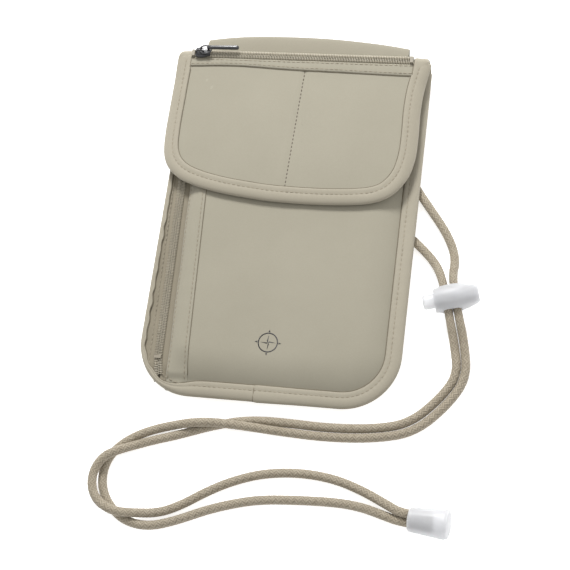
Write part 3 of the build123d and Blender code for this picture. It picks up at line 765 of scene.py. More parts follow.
hem_rows = []
for i in range(100):
    x = FLAP_ZIP_LEFT - 0.9 + i * (FLAP_ZIP_RIGHT - FLAP_ZIP_LEFT + 1.8) / 99
    low, high = hem_low_at(x), FLAP_ZIP_Y - 1.8
    end = max(ease((FLAP_ZIP_LEFT + 0.3 - x) / 1.2), ease((x - FLAP_ZIP_RIGHT + 0.3) / 1.2))
    row = []
    for j in range(11):
        share = j / 10
        y = low + (high - low) * share
        z = 15.98 + 0.14 * math.sin(math.pi * share) + 0.10 * waves(x, y, 5, 21.0) - 0.5 * end
        row.append((x, y, z - (0.28 if j in (0, 10) else 0.0)))
    hem_rows.append(row)
hem_cloth = grid_piece("hem_cloth", hem_rows, SHELL, thick=0.5)

# flap zip tapes
for near, far, name, node in (
    (HEM_LOW + 3.4, FLAP_ZIP_Y - 0.5, "flap_tape_cloth_front", "flap_zip_tape_front"),
    (FLAP_ZIP_Y + 0.5, FLAP_ZIP_Y + 3.1, "flap_tape_cloth_back", "flap_zip_tape_back"),
):
    rows = []
    for i in range(80):
        x = FLAP_ZIP_LEFT + i * (FLAP_ZIP_RIGHT - FLAP_ZIP_LEFT) / 79
        row = []
        for j in range(11):
            y = near + (far - near) * j / 10
            drop = 0.45 * ease((FLAP_ZIP_Y - 1.5 - y) / 1.0) + 2.6 * ease((y - FLAP_ZIP_Y - 1.5) / 3.2)
            row.append((x, y, FLAP_TAPE_Z - drop))
        rows.append(row)
    tape = grid_piece(name, rows, TAPE, thick=0.4, levels=0)
    settle(tape, "flap", "zip_tape", node)

# fold between the back panel and the flap, with the bindings' turn at each end
FOLD_LINE = through((
    (77.5, 5.9), (81.6, 5.85), (84.8, 6.5), (86.8, 8.2), (87.5, 10.4), (87.3, 12.2), (86.8, 13.5), (86.0, 14.6),
), 4)
fold_rows = []
for i in range(90):
    x = BODY_LEFT + 1.6 + i * (BODY_RIGHT - BODY_LEFT - 3.2) / 89
    bulge = 0.12 * waves(x, 0, 9, 31.0)
    corner = 2.0 * (ease((FLAP_ZIP_LEFT + 4 - x) / 6) + ease((x - FLAP_ZIP_RIGHT + 4) / 7))
    fold_rows.append([(x, y + bulge - corner * ease((y - 81) / 5), z) for y, z in FOLD_LINE])
fold_cloth = grid_piece("fold_cloth", fold_rows, SHELL, flip=True, thick=0.5)
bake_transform(fold_cloth)


def flat_section(half, thick, count=22):
    """Rounded flat section: (across, out)."""
    return [(signed_power(cx, 0.35) * half, signed_power(sy, 0.7) * thick / 2) for cx, sy in circle(count)]


TURN_LINE = through((
    (78.0, 6.6), (81.5, 6.7), (84.4, 7.4), (86.2, 9.2), (86.6, 11.2), (86.1, 13.0), (84.7, 14.4), (82.4, 14.9),
    (78.5, 14.7),
), 4)
for side, name in ((-1, "fold_binding_left"), (1, "fold_binding_right")):
    body_x = BODY_LEFT + 4.0 if side < 0 else BODY_RIGHT - 4.0
    flap_x = -63.6 if side < 0 else 61.1
    rows = []
    for i, (y, z) in enumerate(TURN_LINE):
        share = i / (len(TURN_LINE) - 1)
        ahead, behind = TURN_LINE[min(i + 1, len(TURN_LINE) - 1)], TURN_LINE[max(i - 1, 0)]
        ty, tz = ahead[0] - behind[0], ahead[1] - behind[1]
        size = math.hypot(ty, tz)
        oy, oz = tz / size, -ty / size
        middle = body_x + (flap_x - body_x) * ease(share)
        sink = 1.2 * math.sin(math.pi * share)
        rows.append([])
        for across, out in flat_section(4.1 - 0.3 * math.sin(math.pi * share), 2.2):
            inwards = max(0.0, -across * side) / 4.1
            rows[-1].append(
                (
                    middle + across - side * 0.5 * sink,
                    y + oy * out + 0.4 * sink * inwards,
                    z + oz * out - 1.9 * ease((share - 0.75) / 0.25) * max(0.0, across * side) / 4.1,
                )
            )
    turn = grid_piece(name, rows, TRIM, ring=True, levels=1)
    close_ends(turn)
    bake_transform(turn)

# ------------------------------------------------------------------ sleeve for the cord

SLEEVE_LEFT, SLEEVE_RIGHT, SLEEVE_SEAM = -55.25, 52.75, 76.6
SLEEVE_EDGE = through((
    (-55.3, 99.6), (-44.0, 101.4), (-30.0, 102.6), (-8.0, 103.0), (10.0, 102.5), (25.0, 101.4), (40.0, 99.8),
    (52.8, 97.8),
))


def sleeve_back_at(x):
    """Far edge of the sleeve, which bows out in the middle."""
    for (ax, ay), (bx, by) in zip(SLEEVE_EDGE, SLEEVE_EDGE[1:]):
        if x <= bx:
            break
    return ay + (by - ay) * (x - ax) / (bx - ax)


SLEEVE_LOOP = (
    (0.02, 4.9), (0.10, 5.35), (0.3, 5.5), (0.5, 5.35), (0.7, 5.0), (0.85, 4.45), (0.94, 3.8), (0.985, 3.1),
    (1.0, 2.5), (0.99, 1.9), (0.95, 1.2), (0.87, 0.6), (0.75, 0.35), (0.55, 0.3), (0.35, 0.35), (0.15, 0.5),
    (0.04, 1.0), (0.0, 2.4), (0.0, 3.8),
)
sleeve_rows = []
for i in range(90):
    x = SLEEVE_LEFT + i * (SLEEVE_RIGHT - SLEEVE_LEFT) / 89
    far = sleeve_back_at(x)
    row = []
    for share, z in SLEEVE_LOOP:
        y = SLEEVE_SEAM + share * (far - SLEEVE_SEAM)
        row.append((x, y, z + 0.12 * waves(x, y, 14, 41.0) * (z > 3)))
    sleeve_rows.append(row)
# The sleeve's cloth is the shell cloth darkened with painted shade.
sleeve_cloth = grid_piece("sleeve_cloth", sleeve_rows, SLEEVE_PAINTED_SHADE, ring=True, flip=True, thick=0.5)

# ------------------------------------------------------------------ cord

def laid(*places):
    """Route of a cord, whose middle is 2.2 mm up where no height is given."""
    return tuple(place if len(place) == 3 else (*place, 2.2) for place in places)


SLEEVE_ROUTE = laid(
    (-55.25, 82.0, 2.8), (-46.75, 88.0, 2.8), (-28.0, 90.2, 2.8), (-3.0, 89.0, 2.8), (24.0, 90.0, 2.8),
    (44.25, 88.0, 2.8), (52.75, 82.0, 2.8),
)
RIGHT_ROUTE = laid(
    (52.75, 82.0, 2.8), (58.7, 77.8, 2.8), (61.9, 71.0, 2.3), (62.0, 59.0), (58.0, 40.0), (60.5, 24.0),
    (70.8, 10.5), (82.0, -4.5), (86.9, -16.5), (86.2, -28.5, 6.9), (91.2, -47.8, 6.9), (94.6, -59.5),
    (97.3, -76.0), (90.2, -89.5), (75.5, -104.9), (57.0, -109.6), (34.0, -111.2), (11.0, -110.3),
    (-8.0, -110.0, 6.8), (-27.0, -109.6, 6.8), (-45.0, -112.6), (-57.0, -117.2), (-66.2, -123.4),
    (-71.6, -130.6), (-73.2, -139.2), (-71.2, -147.6), (-65.8, -154.8), (-57.6, -160.4), (-46.0, -161.8),
    (-33.0, -157.6), (-20.0, -151.6), (-7.5, -147.2), (6.0, -143.8), (24.0, -142.3), (42.0, -141.6),
    (54.0, -142.6), (64.5, -145.4, 2.3), (73.8, -148.1, 4.0), (87.9, -148.9, 5.0),
)
LEFT_ROUTE = laid(
    (-55.25, 82.0, 2.8), (-61.2, 77.8, 2.8), (-64.6, 70.8, 2.3), (-64.4, 58.0), (-53.0, 43.5), (-33.0, 31.5),
    (-6.0, 23.5), (22.0, 16.5), (46.0, 5.5), (64.0, -7.0), (76.6, -18.6), (81.9, -29.6, 6.9),
    (86.9, -48.9, 6.9), (90.0, -60.5), (92.9, -75.2), (86.0, -87.2), (72.6, -100.9), (56.0, -105.1),
    (34.0, -106.6), (13.0, -105.7), (-5.0, -106.0), (-22.0, -110.2), (-38.5, -116.4), (-49.0, -119.6),
    (-57.2, -122.7, 2.6), (-65.6, -126.8, 5.6), (-72.6, -130.9, 6.9), (-76.6, -138.4, 6.4),
    (-76.0, -147.0, 6.4), (-71.0, -153.6, 6.9), (-62.8, -157.0, 6.9), (-54.0, -156.4, 4.2), (-42.0, -154.9),
    (-31.5, -150.0), (-20.5, -142.6), (-8.5, -136.2), (6.0, -131.2), (23.0, -129.2), (40.0, -130.6),
    (54.0, -135.0), (65.5, -140.4, 3.6), (74.0, -144.8, 6.8), (88.0, -145.6, 7.8),
)
BRAID_YARNS = 8
BRAID_PITCH = 1.6
LOCK_MIDDLE = Vector((86.55, -38.70, 6.9))
BRAID_DEPTH = 0.22
CORD_SIDES = 32
CORD_STEP = 0.5


def cord_points(name, route):
    """Points of the smooth line that has the route's points as its control points."""
    curve = bpy.data.curves.new(name + "_line", "CURVE")
    curve.dimensions = "3D"
    curve.resolution_u = 20
    spline = curve.splines.new("NURBS")
    spline.points.add(len(route) - 1)
    for point, place in zip(spline.points, route):
        point.co = (*(part * MM for part in place), 1.0)
    spline.order_u = 3
    spline.use_endpoint_u = True
    line = bpy.data.objects.new(name + "_line", curve)
    scene.collection.objects.link(line)
    bpy.context.view_layer.update()
    mesh = bpy.data.meshes.new_from_object(line.evaluated_get(bpy.context.evaluated_depsgraph_get()))
    points = [vertex.co.copy() for vertex in mesh.vertices]
    bpy.data.meshes.remove(mesh)
    bpy.data.objects.remove(line)
    bpy.data.curves.remove(curve)
    return points


def even_points(points, step):
    """Points a step apart along a line in space."""
    lengths = [0.0]
    for before, after in zip(points, points[1:]):
        lengths.append(lengths[-1] + (after - before).length)
    count = round(lengths[-1] / step)
    return [points[k].lerp(points[k + 1], share) for k, share, at in stations(lengths, count)]


def yarn_relief(turn, along):
    """Height of the braid's yarns from 0 to 1."""
    first = BRAID_YARNS * turn + along / BRAID_PITCH
    second = BRAID_YARNS * turn - along / BRAID_PITCH
    over = (math.floor(first) - math.floor(second)) % 4 < 2
    yarn = first if over else second
    across = 2 * (yarn - math.floor(yarn)) - 1
    return 1 - across * across


def braided_cord(name, route):
    """Braided cord as one closed tube along its line, with each yarn's relief in the mesh."""
    path = cord_points(name, route)
    line = even_points(path, CORD_STEP * MM)
    side = Vector((0, 0, 1))
    points, corner_uv = [], []
    for i, place in enumerate(line):
        heading = (line[min(i + 1, len(line) - 1)] - line[max(i - 1, 0)]).normalized()
        side = (side - heading * side.dot(heading)).normalized()
        other = heading.cross(side)
        plump = 0.12 * ease(((place / MM - LOCK_MIDDLE).length - 11) / 6)
        for j in range(CORD_SIDES):
            turn = j / CORD_SIDES
            angle = 2 * math.pi * turn
            radius = CORD / 2 + plump - BRAID_DEPTH * (1 - yarn_relief(turn, i * CORD_STEP))
            points.append((place / MM + (side * math.cos(angle) + other * math.sin(angle)) * radius)[:])
    faces = skin(CORD_SIDES, len(line), len(line) - 1)
    for i in range(len(line) - 1):
        for j in range(CORD_SIDES):
            low, high = i * CORD_STEP, (i + 1) * CORD_STEP
            near, far = j / CORD_SIDES, (j + 1) / CORD_SIDES
            corner_uv += [(near, low), (far, low), (far, high), (near, high)]
    for row, order in ((0, -1), (len(line) - 1, 1)):
        ring = [row * CORD_SIDES + j for j in range(CORD_SIDES)][::order]
        centre = len(points)
        points.append((line[row] / MM)[:])
        for a, b in zip(ring, ring[1:] + ring[:1]):
            faces.append((a, b, centre))
            corner_uv += [(0.0, 0.0), (0.1, 0.0), (0.05, 0.1)]
    return mesh_piece(name, points, faces, CORD_COVER, corner_uv), path


LOCK_NODES = ("cord_lock_barrel", "cord_lock_plunger")
for name, node, route, length, far_end, with_pieces in (
    ("sleeve_cord", "cord_in_sleeve", SLEEVE_ROUTE, 0.1116, "object", ()),
    ("right_cord", "cord_right", RIGHT_ROUTE, 0.5477, "fitting", (*LOCK_NODES, "cord_end_cap")),
    ("left_cord", "cord_left", LEFT_ROUTE, 0.6279, "fitting", (*LOCK_NODES, "cord_end_cap")),
):
    piece, path = braided_cord(name, route)
    settle(piece, "pouch", "cord_braid", node)
    nodes = [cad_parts[part] for part in with_pieces]
    tuple(part * MM for part in route[0])
    [tuple(point) for point in path]

# ------------------------------------------------------------------ rows of stitches and teeth


def row_tree(name, tooth=False):
    """Repeats one rounded piece along each line: length runs along it, width across it.

    A tooth lies to one side of the line, with a head at the line.
    """
    tree, given, result = new_tree(
        name,
        (
            ("Geometry", "Geometry", None), ("Piece length", "Float", 0.0019), ("Piece width", "Float", 0.0004),
            ("Piece height", "Float", 0.0003), ("Pitch", "Float", 0.0027), ("Unevenness", "Float", 0.03),
            ("Seed", "Int", 3), ("Finish", "Material", None), ("Side", "Float", 1.0),
            ("Head width", "Float", 0.0006),
        ),
        [("Geometry", "Geometry")],
        "GeometryNodeTree",
    )
    line = put(tree, "GeometryNodeMeshToCurve", Mesh=given["Geometry"])
    spaced = put(
        tree, "GeometryNodeResampleCurve", {"mode": "LENGTH"}, Curve=line.outputs[0], Length=given["Pitch"]
    )
    bead = put(tree, "GeometryNodeMeshUVSphere", Segments=8, Rings=6, Radius=0.56)
    size = put(
        tree, "CombineXYZ", X=given["Piece length"], Y=given["Piece width"], Z=given["Piece height"]
    )
    shaped = put(tree, "GeometryNodeTransform", Geometry=bead.outputs["Mesh"], Scale=size.outputs[0])
    one = shaped.outputs[0]
    if tooth:
        work = sums(tree)
        half = work("MULTIPLY", given["Piece width"], 0.5)
        shift = put(tree, "CombineXYZ", Y=work("MULTIPLY", half, given["Side"]))
        feed(tree, shaped.inputs["Translation"], shift.outputs[0])
        wide = given["Head width"]
        deep, high = work("MULTIPLY", wide, 0.9), work("MULTIPLY", wide, 1.1)
        head_size = put(tree, "CombineXYZ", X=wide, Y=deep, Z=high)
        head = put(tree, "GeometryNodeTransform", Geometry=bead.outputs["Mesh"], Scale=head_size.outputs[0])
        both = put(tree, "GeometryNodeJoinGeometry", Geometry=one)
        feed(tree, both.inputs[0], head.outputs[0])
        one = both.outputs[0]
    soft = put(tree, "GeometryNodeSetShadeSmooth", Geometry=one)
    heading = put(tree, "GeometryNodeInputTangent")
    turned = put(tree, "FunctionNodeAlignEulerToVector", {"axis": "X"}, Vector=heading.outputs[0])
    spread = put(tree, "CombineXYZ", X=given["Unevenness"], Y=given["Unevenness"], Z=given["Unevenness"])
    negative = put(tree, "VectorMath", {"operation": "SCALE"}, Scale=-1.0, Vector=spread.outputs[0])
    wobble = put(
        tree, "FunctionNodeRandomValue", {"data_type": "FLOAT_VECTOR"},
        Seed=given["Seed"], Min=negative.outputs[0], Max=spread.outputs[0],
    )
    tilt = put(
        tree, "FunctionNodeRotateEuler", {"space": "LOCAL"},
        Rotation=turned.outputs[0], Rotate_By=wobble.outputs[0],
    )
    copies = put(
        tree, "GeometryNodeInstanceOnPoints",
        Points=spaced.outputs[0], Instance=soft.outputs[0], Rotation=tilt.outputs[0],
    )
    real = put(tree, "GeometryNodeRealizeInstances", Geometry=copies.outputs[0])
    coated = put(tree, "GeometryNodeSetMaterial", Geometry=real.outputs[0], Material=given["Finish"])
    feed(tree, result[0], coated.outputs[0])
    return tree


STITCH_TREE = row_tree("stitch_rows")
TOOTH_TREE = row_tree("coil_teeth", tooth=True)


def row_piece(name, tree, lines, **settings):
    """One plain mesh with the tree's pieces along every line."""
    points, edges = [], []
    for line in lines:
        edges += [(len(points) + i, len(points) + i + 1) for i in range(len(line) - 1)]
        points += line
    base = bpy.data.meshes.new(name + "_lines")
    base.from_pydata([(x * MM, y * MM, z * MM) for x, y, z in points], edges, [])
    piece = bpy.data.objects.new(name, base)
    scene.collection.objects.link(piece)
    modifier = piece.modifiers.new("rows", "NODES")
    modifier.node_group = tree
    for socket in tree.interface.items_tree:
        if socket.in_out == "INPUT" and socket.name.replace(" ", "_") in settings:
            modifier[socket.identifier] = settings[socket.name.replace(" ", "_")]
    bpy.context.view_layer.update()
    mesh = bpy.data.meshes.new_from_object(piece.evaluated_get(bpy.context.evaluated_depsgraph_get()))
    piece.modifiers.remove(modifier)
    piece.data = mesh
    bpy.data.meshes.remove(base)
    mesh.name = name
    return piece


def stitches(name, lines, body, slot, material=THREAD, pitch=2.5, length=1.75, thread=0.42):
    piece = row_piece(
        name, STITCH_TREE, lines,
        Piece_length=length * MM, Piece_width=thread * MM, Piece_height=thread * 0.8 * MM,
        Pitch=pitch * MM, Unevenness=0.05, Seed=7, Finish=material,
    )
    settle(piece, body, slot)
    return piece


# ------------------------------------------------------------------ zips

TOOTH_PITCH = 0.84
COIL_LIFT = 0.42


def coil_half(name, node, body, line, side):
    """One nylon coil along its zip's middle: its bars lie on one side, and their heads at the middle."""
    piece = row_piece(
        name, TOOTH_TREE, [line], Piece_length=0.47 * MM, Piece_width=1.95 * MM, Piece_height=1.05 * MM,
        Pitch=TOOTH_PITCH * MM, Unevenness=0.0, Seed=1, Finish=COIL, Side=float(side), Head_width=0.5 * MM,
    )
    settle(piece, body, "zip_teeth", node)


for side, word in ((1, "left"), (-1, "right")):
    first = SIDE_ZIP_TOP - (0.5 * TOOTH_PITCH if side > 0 else 0.0)
    line = [
        (side_zip_at(y) - 0.14 * side, y, side_tape_height(0, y) + COIL_LIFT)
        for y in (first - i for i in range(149))
    ]
    coil_half("side_coil_" + word, "side_zip_teeth_" + word, "pouch", line, -side)
for side, word in ((-1, "front"), (1, "back")):
    first = FLAP_ZIP_LEFT + (0.5 * TOOTH_PITCH if side > 0 else 0.0)
    middle = FLAP_ZIP_Y + 0.1 * side
    line = [(x, middle, FLAP_TAPE_Z + COIL_LIFT) for x in (first, FLAP_ZIP_RIGHT)]
    coil_half("flap_coil_" + word, "flap_zip_teeth_" + word, "flap", line, side)


def shells_piece(name, shells, material, bevel=0.18, outward=True):
    """One object from closed shells, each (points, faces), with rounded edges."""
    points, faces = [], []
    for shell_points, shell_faces in shells:
        base = len(points)
        points += shell_points
        faces += [tuple(base + k for k in face) for face in shell_faces]
    piece = mesh_piece(name, points, faces, material)
    tidy_mesh(piece, outward=outward)
    if bevel:
        edge = piece.modifiers.new("rounded edges", "BEVEL")
        edge.width = bevel * MM
        edge.segments = 2
        edge.limit_method = "ANGLE"
        edge.angle_limit = math.radians(35)
    return piece


def plate(outline, low, high, place):
    """Closed plate over an outline of (along, across) points."""
    count = len(outline)
    points = [place(a, b, low) for a, b in outline] + [place(a, b, high) for a, b in outline]
    faces = [tuple(range(count))[::-1], tuple(range(count, 2 * count))]
    for i in range(count):
        k = (i + 1) % count
        faces.append((i, k, count + k, count + i))
    return points, faces


def tube(path, radius, sides, squeeze=1.0, ring=False):
    """Closed tube along points with flat ends, or a ring of it round a level loop of points."""
    points = []
    path = [Vector(point) for point in path]
    count, last = len(path), len(path) - 1
    up = Vector((0, 0, 1))
    side = up if ring or abs((path[1] - path[0]).normalized().z) < 0.9 else Vector((1, 0, 0))
    for i, place in enumerate(path):
        ends = ((i + 1) % count, i - 1) if ring else (min(i + 1, last), max(i - 1, 0))
        heading = (path[ends[0]] - path[ends[1]]).normalized()
        start = up if ring else side
        side = (start - heading * start.dot(heading)).normalized()
        other = heading.cross(side)
        for cx, sy in circle(sides):
            points.append((place + side * cx * radius * squeeze + other * sy * radius)[:])
    faces = skin(sides, count, count if ring else last)
    if not ring:
        faces.append(tuple(range(sides))[::-1])
        faces.append(tuple(last * sides + j for j in range(sides)))
    return points, faces


SLIDER_OUTLINE = (
    (-4.0, -1.7), (-3.4, -2.5), (-2.2, -2.75), (0.2, -2.6), (2.6, -2.0), (3.7, -1.7), (4.0, -1.2),
    (4.0, 1.2), (3.7, 1.7), (2.6, 2.0), (0.2, 2.6), (-2.2, 2.75), (-3.4, 2.5), (-4.0, 1.7), (-3.6, 0.5),
    (-3.6, -0.5),
)
SLIDER_RIM = (
    (-1.6, 2.3), (0.4, 2.2), (2.6, 1.62), (3.8, 1.35), (3.8, 1.72), (2.6, 2.0), (0.4, 2.6), (-1.6, 2.74),
)
SLIDER_NECK = ((-3.7, -0.18), (-1.7, -0.18), (-1.7, 0.18), (-3.7, 0.18))


def zip_slider(name, place, tape_z, bail_at, body, node):
    """Zip slider: two waisted plates joined by a neck, side flanges and the loop that holds the pull."""
    low = tape_z - 0.4
    top = tape_z + 1.45
    shells = [plate(SLIDER_OUTLINE, *span, place) for span in ((low - 0.95, low - 0.25), (top, top + 0.8))]
    for side in (-1, 1):
        rim = [(a, b * side) for a, b in SLIDER_RIM][::side]
        shells.append(plate(rim, top - 0.55, top + 0.1, place))
    shells.append(plate(SLIDER_NECK, low - 0.3, top + 0.1, place))
    arch = []
    for k in range(13):
        angle = math.pi * k / 12
        arch.append(place(bail_at + 2.1 * math.cos(angle), 0.0, top + 0.6 + 2.0 * math.sin(angle) ** 0.75))
    shells.append(tube(arch, 0.36, 8, 1.5))
    piece = shells_piece(name, shells, BLACK, 0.16)
    settle(piece, body, "black_metal", node)
    return piece


SIDE_SLIDER_Y = 54.002
side_down = Vector((math.sin(LEAN), -math.cos(LEAN)))
side_right = Vector((math.cos(LEAN), math.sin(LEAN)))
side_slider_x = SIDE_ZIP_X - (SIDE_SLIDER_Y - SIDE_ZIP_MIDDLE) * math.tan(LEAN)
side_place = lambda a, b, z: (
    side_slider_x + side_down.x * a + side_right.x * b, SIDE_SLIDER_Y + side_down.y * a + side_right.y * b, z
)
zip_slider("side_slider_body", side_place, SIDE_TAPE_Z, 0.0, "side_slider", "side_zip_slider")

FLAP_SLIDER_X = -53.4
FLAP_PULL_X = -55.0
flap_place = lambda a, b, z: (FLAP_SLIDER_X + a, FLAP_ZIP_Y + b, z)
zip_slider(
    "flap_slider_body", flap_place, FLAP_TAPE_Z, FLAP_PULL_X - FLAP_SLIDER_X, "flap_slider", "flap_zip_slider"
)

# pull of the side zip: a long drop with a window at its ring end
outer, inner = [], []
for cx, sy in circle(32):
    a = 5.7 - 6.5 * cx
    wide = 1.55 + 0.45 * ease(a / 10)
    outer.append((a, wide * signed_power(sy, 0.55)))
    inner.append((1.05 - 1.05 * cx, 0.95 * signed_power(sy, 0.7)))
PULL_Z, PULL_HALF = 11.325, 0.38
points = [
    side_place(a, b, z) for z in (PULL_Z - PULL_HALF, PULL_Z + PULL_HALF) for loop in (outer, inner)
    for a, b in loop
]
faces = []
for k in range(32):
    m = (k + 1) % 32
    faces += [
        (k, m, 32 + m, 32 + k), (64 + k, 96 + k, 96 + m, 64 + m),
        (k, 64 + k, 64 + m, m), (32 + k, 32 + m, 96 + m, 96 + k),
    ]
side_pull_piece = shells_piece("side_pull_tab", [(points, faces)], BLACK, 0.15)
settle(side_pull_piece, "side_pull", "black_metal", "side_zip_pull")

# pull of the flap zip: an oval wire ring and a slim bar
RING_Z = 18.625
ring_loop = []
for cx, sy in circle(40):
    ring_loop.append((
        FLAP_PULL_X + 3.1 + 3.1 * signed_power(cx, 0.8),
        FLAP_ZIP_Y + 1.1 + 2.3 * signed_power(sy, 0.8),
        RING_Z + 0.25 * cx,
    ))
ring_piece = shells_piece("flap_pull_ring", [tube(ring_loop, 0.42, 10, ring=True)], BLACK, 0)
BAR_Y = FLAP_ZIP_Y + 2.7
BAR_STATIONS = (
    (-51.2, 0.5, 0.35), (-50.8, 0.85, 0.62), (-49.0, 0.92, 0.70), (-45.0, 0.95, 0.74), (-39.0, 1.02, 0.84),
    (-35.6, 1.06, 0.88), (-34.6, 1.0, 0.82), (-34.2, 0.6, 0.5),
)
rows = []
for x, wide, high in BAR_STATIONS:
    middle_y, middle_z = BAR_Y - 0.3 + 0.02 * (x + 49), RING_Z + 0.25
    rows.append([
        (x, middle_y + wide * signed_power(cx, 0.5), middle_z + high * signed_power(sy, 0.5))
        for cx, sy in circle(16)
    ])
bar_piece = grid_piece("flap_pull_bar", rows, BLACK, ring=True, levels=0)
close_ends(bar_piece)
for piece, node in ((ring_piece, "flap_zip_ring"), (bar_piece, "flap_zip_bar")):
    settle(piece, "flap_pull", "black_metal", node)

# ------------------------------------------------------------------ closure patches

PATCH_X, PATCH_Y, PATCH_HALF_X, PATCH_HALF_Y = -1.25, 24.0, 30.0, 8.0
for name, node, body, low, high in (
    ("loop_patch_pile", "loop_patch", "pouch", 12.75, 13.15),
    ("hook_patch_pile", "hook_patch", "flap", 14.1, 13.65),
):
    rows = []
    for i in range(41):
        rows.append([])
        for j in range(13):
            u, v = 2 * i / 40 - 1, 2 * j / 12 - 1
            x = PATCH_X + PATCH_HALF_X * u * (1 - 0.02 * v**6)
            y = PATCH_Y + PATCH_HALF_Y * v * (1 - 0.06 * u**8)
            edge = max(abs(u) ** 8, abs(v) ** 8)
            rows[-1].append((x, y, high + (low - high) * edge + 0.08 * waves(x, y, 1.5, 51.0)))
    patch = grid_piece(name, rows, PILE, flip=True, thick=0.3)
    settle(patch, body, "hook_and_loop", node)

# ------------------------------------------------------------------ spring in the cord lock

LOCK_TURN = math.radians(14.5)
lock_along = Vector((math.cos(LOCK_TURN), math.sin(LOCK_TURN), 0))
lock_side = Vector((-math.sin(LOCK_TURN), math.cos(LOCK_TURN), 0))
coil_path = []
for k in range(121):
    angle = 2 * math.pi * k / 24
    at = 7.25 + 4.7 * k / 120
    turned_by = lock_side * 2.6 * math.cos(angle) + Vector((0, 0, 2.6 * math.sin(angle)))
    coil_path.append(LOCK_MIDDLE + lock_along * at + turned_by)
spring = shells_piece("lock_spring_coil", [tube(coil_path, 0.28, 8)], WIRE, 0)
settle(spring, "cord_lock", "spring_steel", "cord_lock_spring")
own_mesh(spring)

# ------------------------------------------------------------------ plain nodes that keep their shape

for finish, kept_nodes in (
    (MILKY, ("cord_lock_barrel", "cord_lock_plunger", "cord_end_cap")),
    (STOP, ("side_zip_top_stop", "side_zip_bottom_stop", "flap_zip_stop_left", "flap_zip_stop_right")),
):
    for node in kept_nodes:
        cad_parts[node].data.materials.clear()
        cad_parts[node].data.materials.append(finish)

# ------------------------------------------------------------------ stitches


def offset_line(walk, inset, height, keep, lift=0.1):
    """Line beside a walk, where it is kept, a little above the cloth."""
    line = [(x + nx * inset, y + ny * inset) for x, y, nx, ny, at in walk]
    return [(x, y, height(x, y) + lift) for x, y in line if keep(x, y)]


def patch_row(z):
    """Row of stitches round a closure patch, inside its edge."""
    wide, deep = PATCH_HALF_X - 1.4, PATCH_HALF_Y - 1.4
    left, right, low, high = PATCH_X - wide, PATCH_X + wide, PATCH_Y - deep, PATCH_Y + deep
    return [(left, low, z), (right, low, z), (right, high, z), (left, high, z), (left, low + 2, z)]


pouch_rows = [
    offset_line(
        body_walk, BINDING - STITCH_IN, lambda x, y: 8.24 + binding_lap(x, y),
        lambda x, y: (x > -50 and y < -60) or (x > 0 and y < 80),
    ),
    offset_line(body_walk, 5.3, lambda x, y: 5.02, lambda x, y: y < 80, lift=-0.1),
]
for edge, inset in ((facing_x, 1.1), (seam_x, -1.0)):
    line = [(edge(y) + inset, y) for y in range(59, -90, -1)]
    pouch_rows.append([(x, y, facing_height(x, y) + 0.08) for x, y in line])
pouch_rows.append([(x, MOUTH_Y - 3.0, front_height(x, MOUTH_Y - 3.0) + 0.08) for x in range(-40, 56)])
pouch_rows.append([(side_zip_at(y) - 4.4, y, side_tape_height(0, y) + 0.02) for y in range(58, -84, -1)])
pouch_rows.append(patch_row(13.18))
pouch_rows.append([(x, 78.9, 0.32) for x in range(-54, 53)])
stitches("pouch_stitches", pouch_rows, "pouch", "binding_fabric")

flap_rows = [
    offset_line(flap_walk, FLAP_BINDING * 0.64, lambda x, y: 15.80 + flap_lift(x, y), lambda x, y: y < 81),
    offset_line(flap_walk, 5.4, lambda x, y: 13.68 + flap_lift(x, y), lambda x, y: y < 81, lift=-0.1),
    [(x, hem_low_at(x) + 1.3, 16.10) for x in range(-58, 57)],
    [(x, FLAP_ZIP_Y - 3.1, 16.14) for x in range(-58, 57)],
]
flap_rows.append(patch_row(13.62))
stitches("flap_stitches", flap_rows, "flap", "binding_fabric")
centre_row = [(flap_centre_x(y), y, flap_front_height(flap_centre_x(y), y) + 0.05) for y in range(76, 11, -1)]
stitches("flap_centre_stitches", [centre_row], "flap", "binding_fabric", DARK_THREAD, 2.1, 1.35, 0.5)

# ------------------------------------------------------------------ painted shadow lines along seams


def painted_shadow_lines(name, lines, body, slot, radius=0.16):
    """Fine dark tubes where one cloth dips under another: painted shadow lines, not dark edges of the cloth."""
    piece = shells_piece(name, [tube(line, radius, 5) for line in lines], SHADOW_LINE_FINISH, 0)
    settle(piece, body, slot)


def binding_edge_line(keep):
    line = []
    for x, y, nx, ny, at in body_walk:
        d = binding_width(x, y) + 0.12
        if keep(x, y):
            px, py = x + nx * d, y + ny * d
            line.append((px, py, 8.0 + 0.1 * waves(at, 0, 4, 61.0)))
    return line


LAP_LINE = ((7.8, 8.3), (6, 8.5), (4, 8.56), (2, 8.3), (0.8, 7.9), (-0.1, 7.0))
# Painted shadow lines at the binding's inner edge, the facing seam and the binding's lap.
painted_shadow_lines(
    "pouch_seam_edges",
    [
        binding_edge_line(lambda x, y: (x > -46 and y < -60) or (x > 0 and y < 64)),
        binding_edge_line(lambda x, y: x < -46 and y < 60),
        [(seam_x(y) + 0.62, y, front_height(seam_x(y) + 0.62, y) + 0.10) for y in range(59, -89, -1)],
        [(LAP_X - 0.12, BODY_BOTTOM + d, z) for d, z in LAP_LINE],
    ],
    "pouch", "binding_fabric",
)
flap_edge_line = offset_line(
    flap_walk, FLAP_BINDING + 0.12, lambda x, y: 15.44 + flap_lift(x, y), lambda x, y: y < HEM_LOW, lift=0.0
)
# Painted shadow lines round the flap binding, under the hem band and at the zip ends.
painted_shadow_lines(
    "flap_seam_edges",
    [
        flap_edge_line,
        [(x, hem_low_at(x) - 0.12, 15.50) for x in range(-59, 58)],
        [(FLAP_ZIP_LEFT - 0.2, y / 2, 16.0) for y in range(153, 167)],
        [(FLAP_ZIP_RIGHT + 0.2, y / 2, 16.0) for y in range(153, 167)],
    ],
    "flap", "binding_fabric", 0.13,
)

# ------------------------------------------------------------------ printed mark: a plain compass


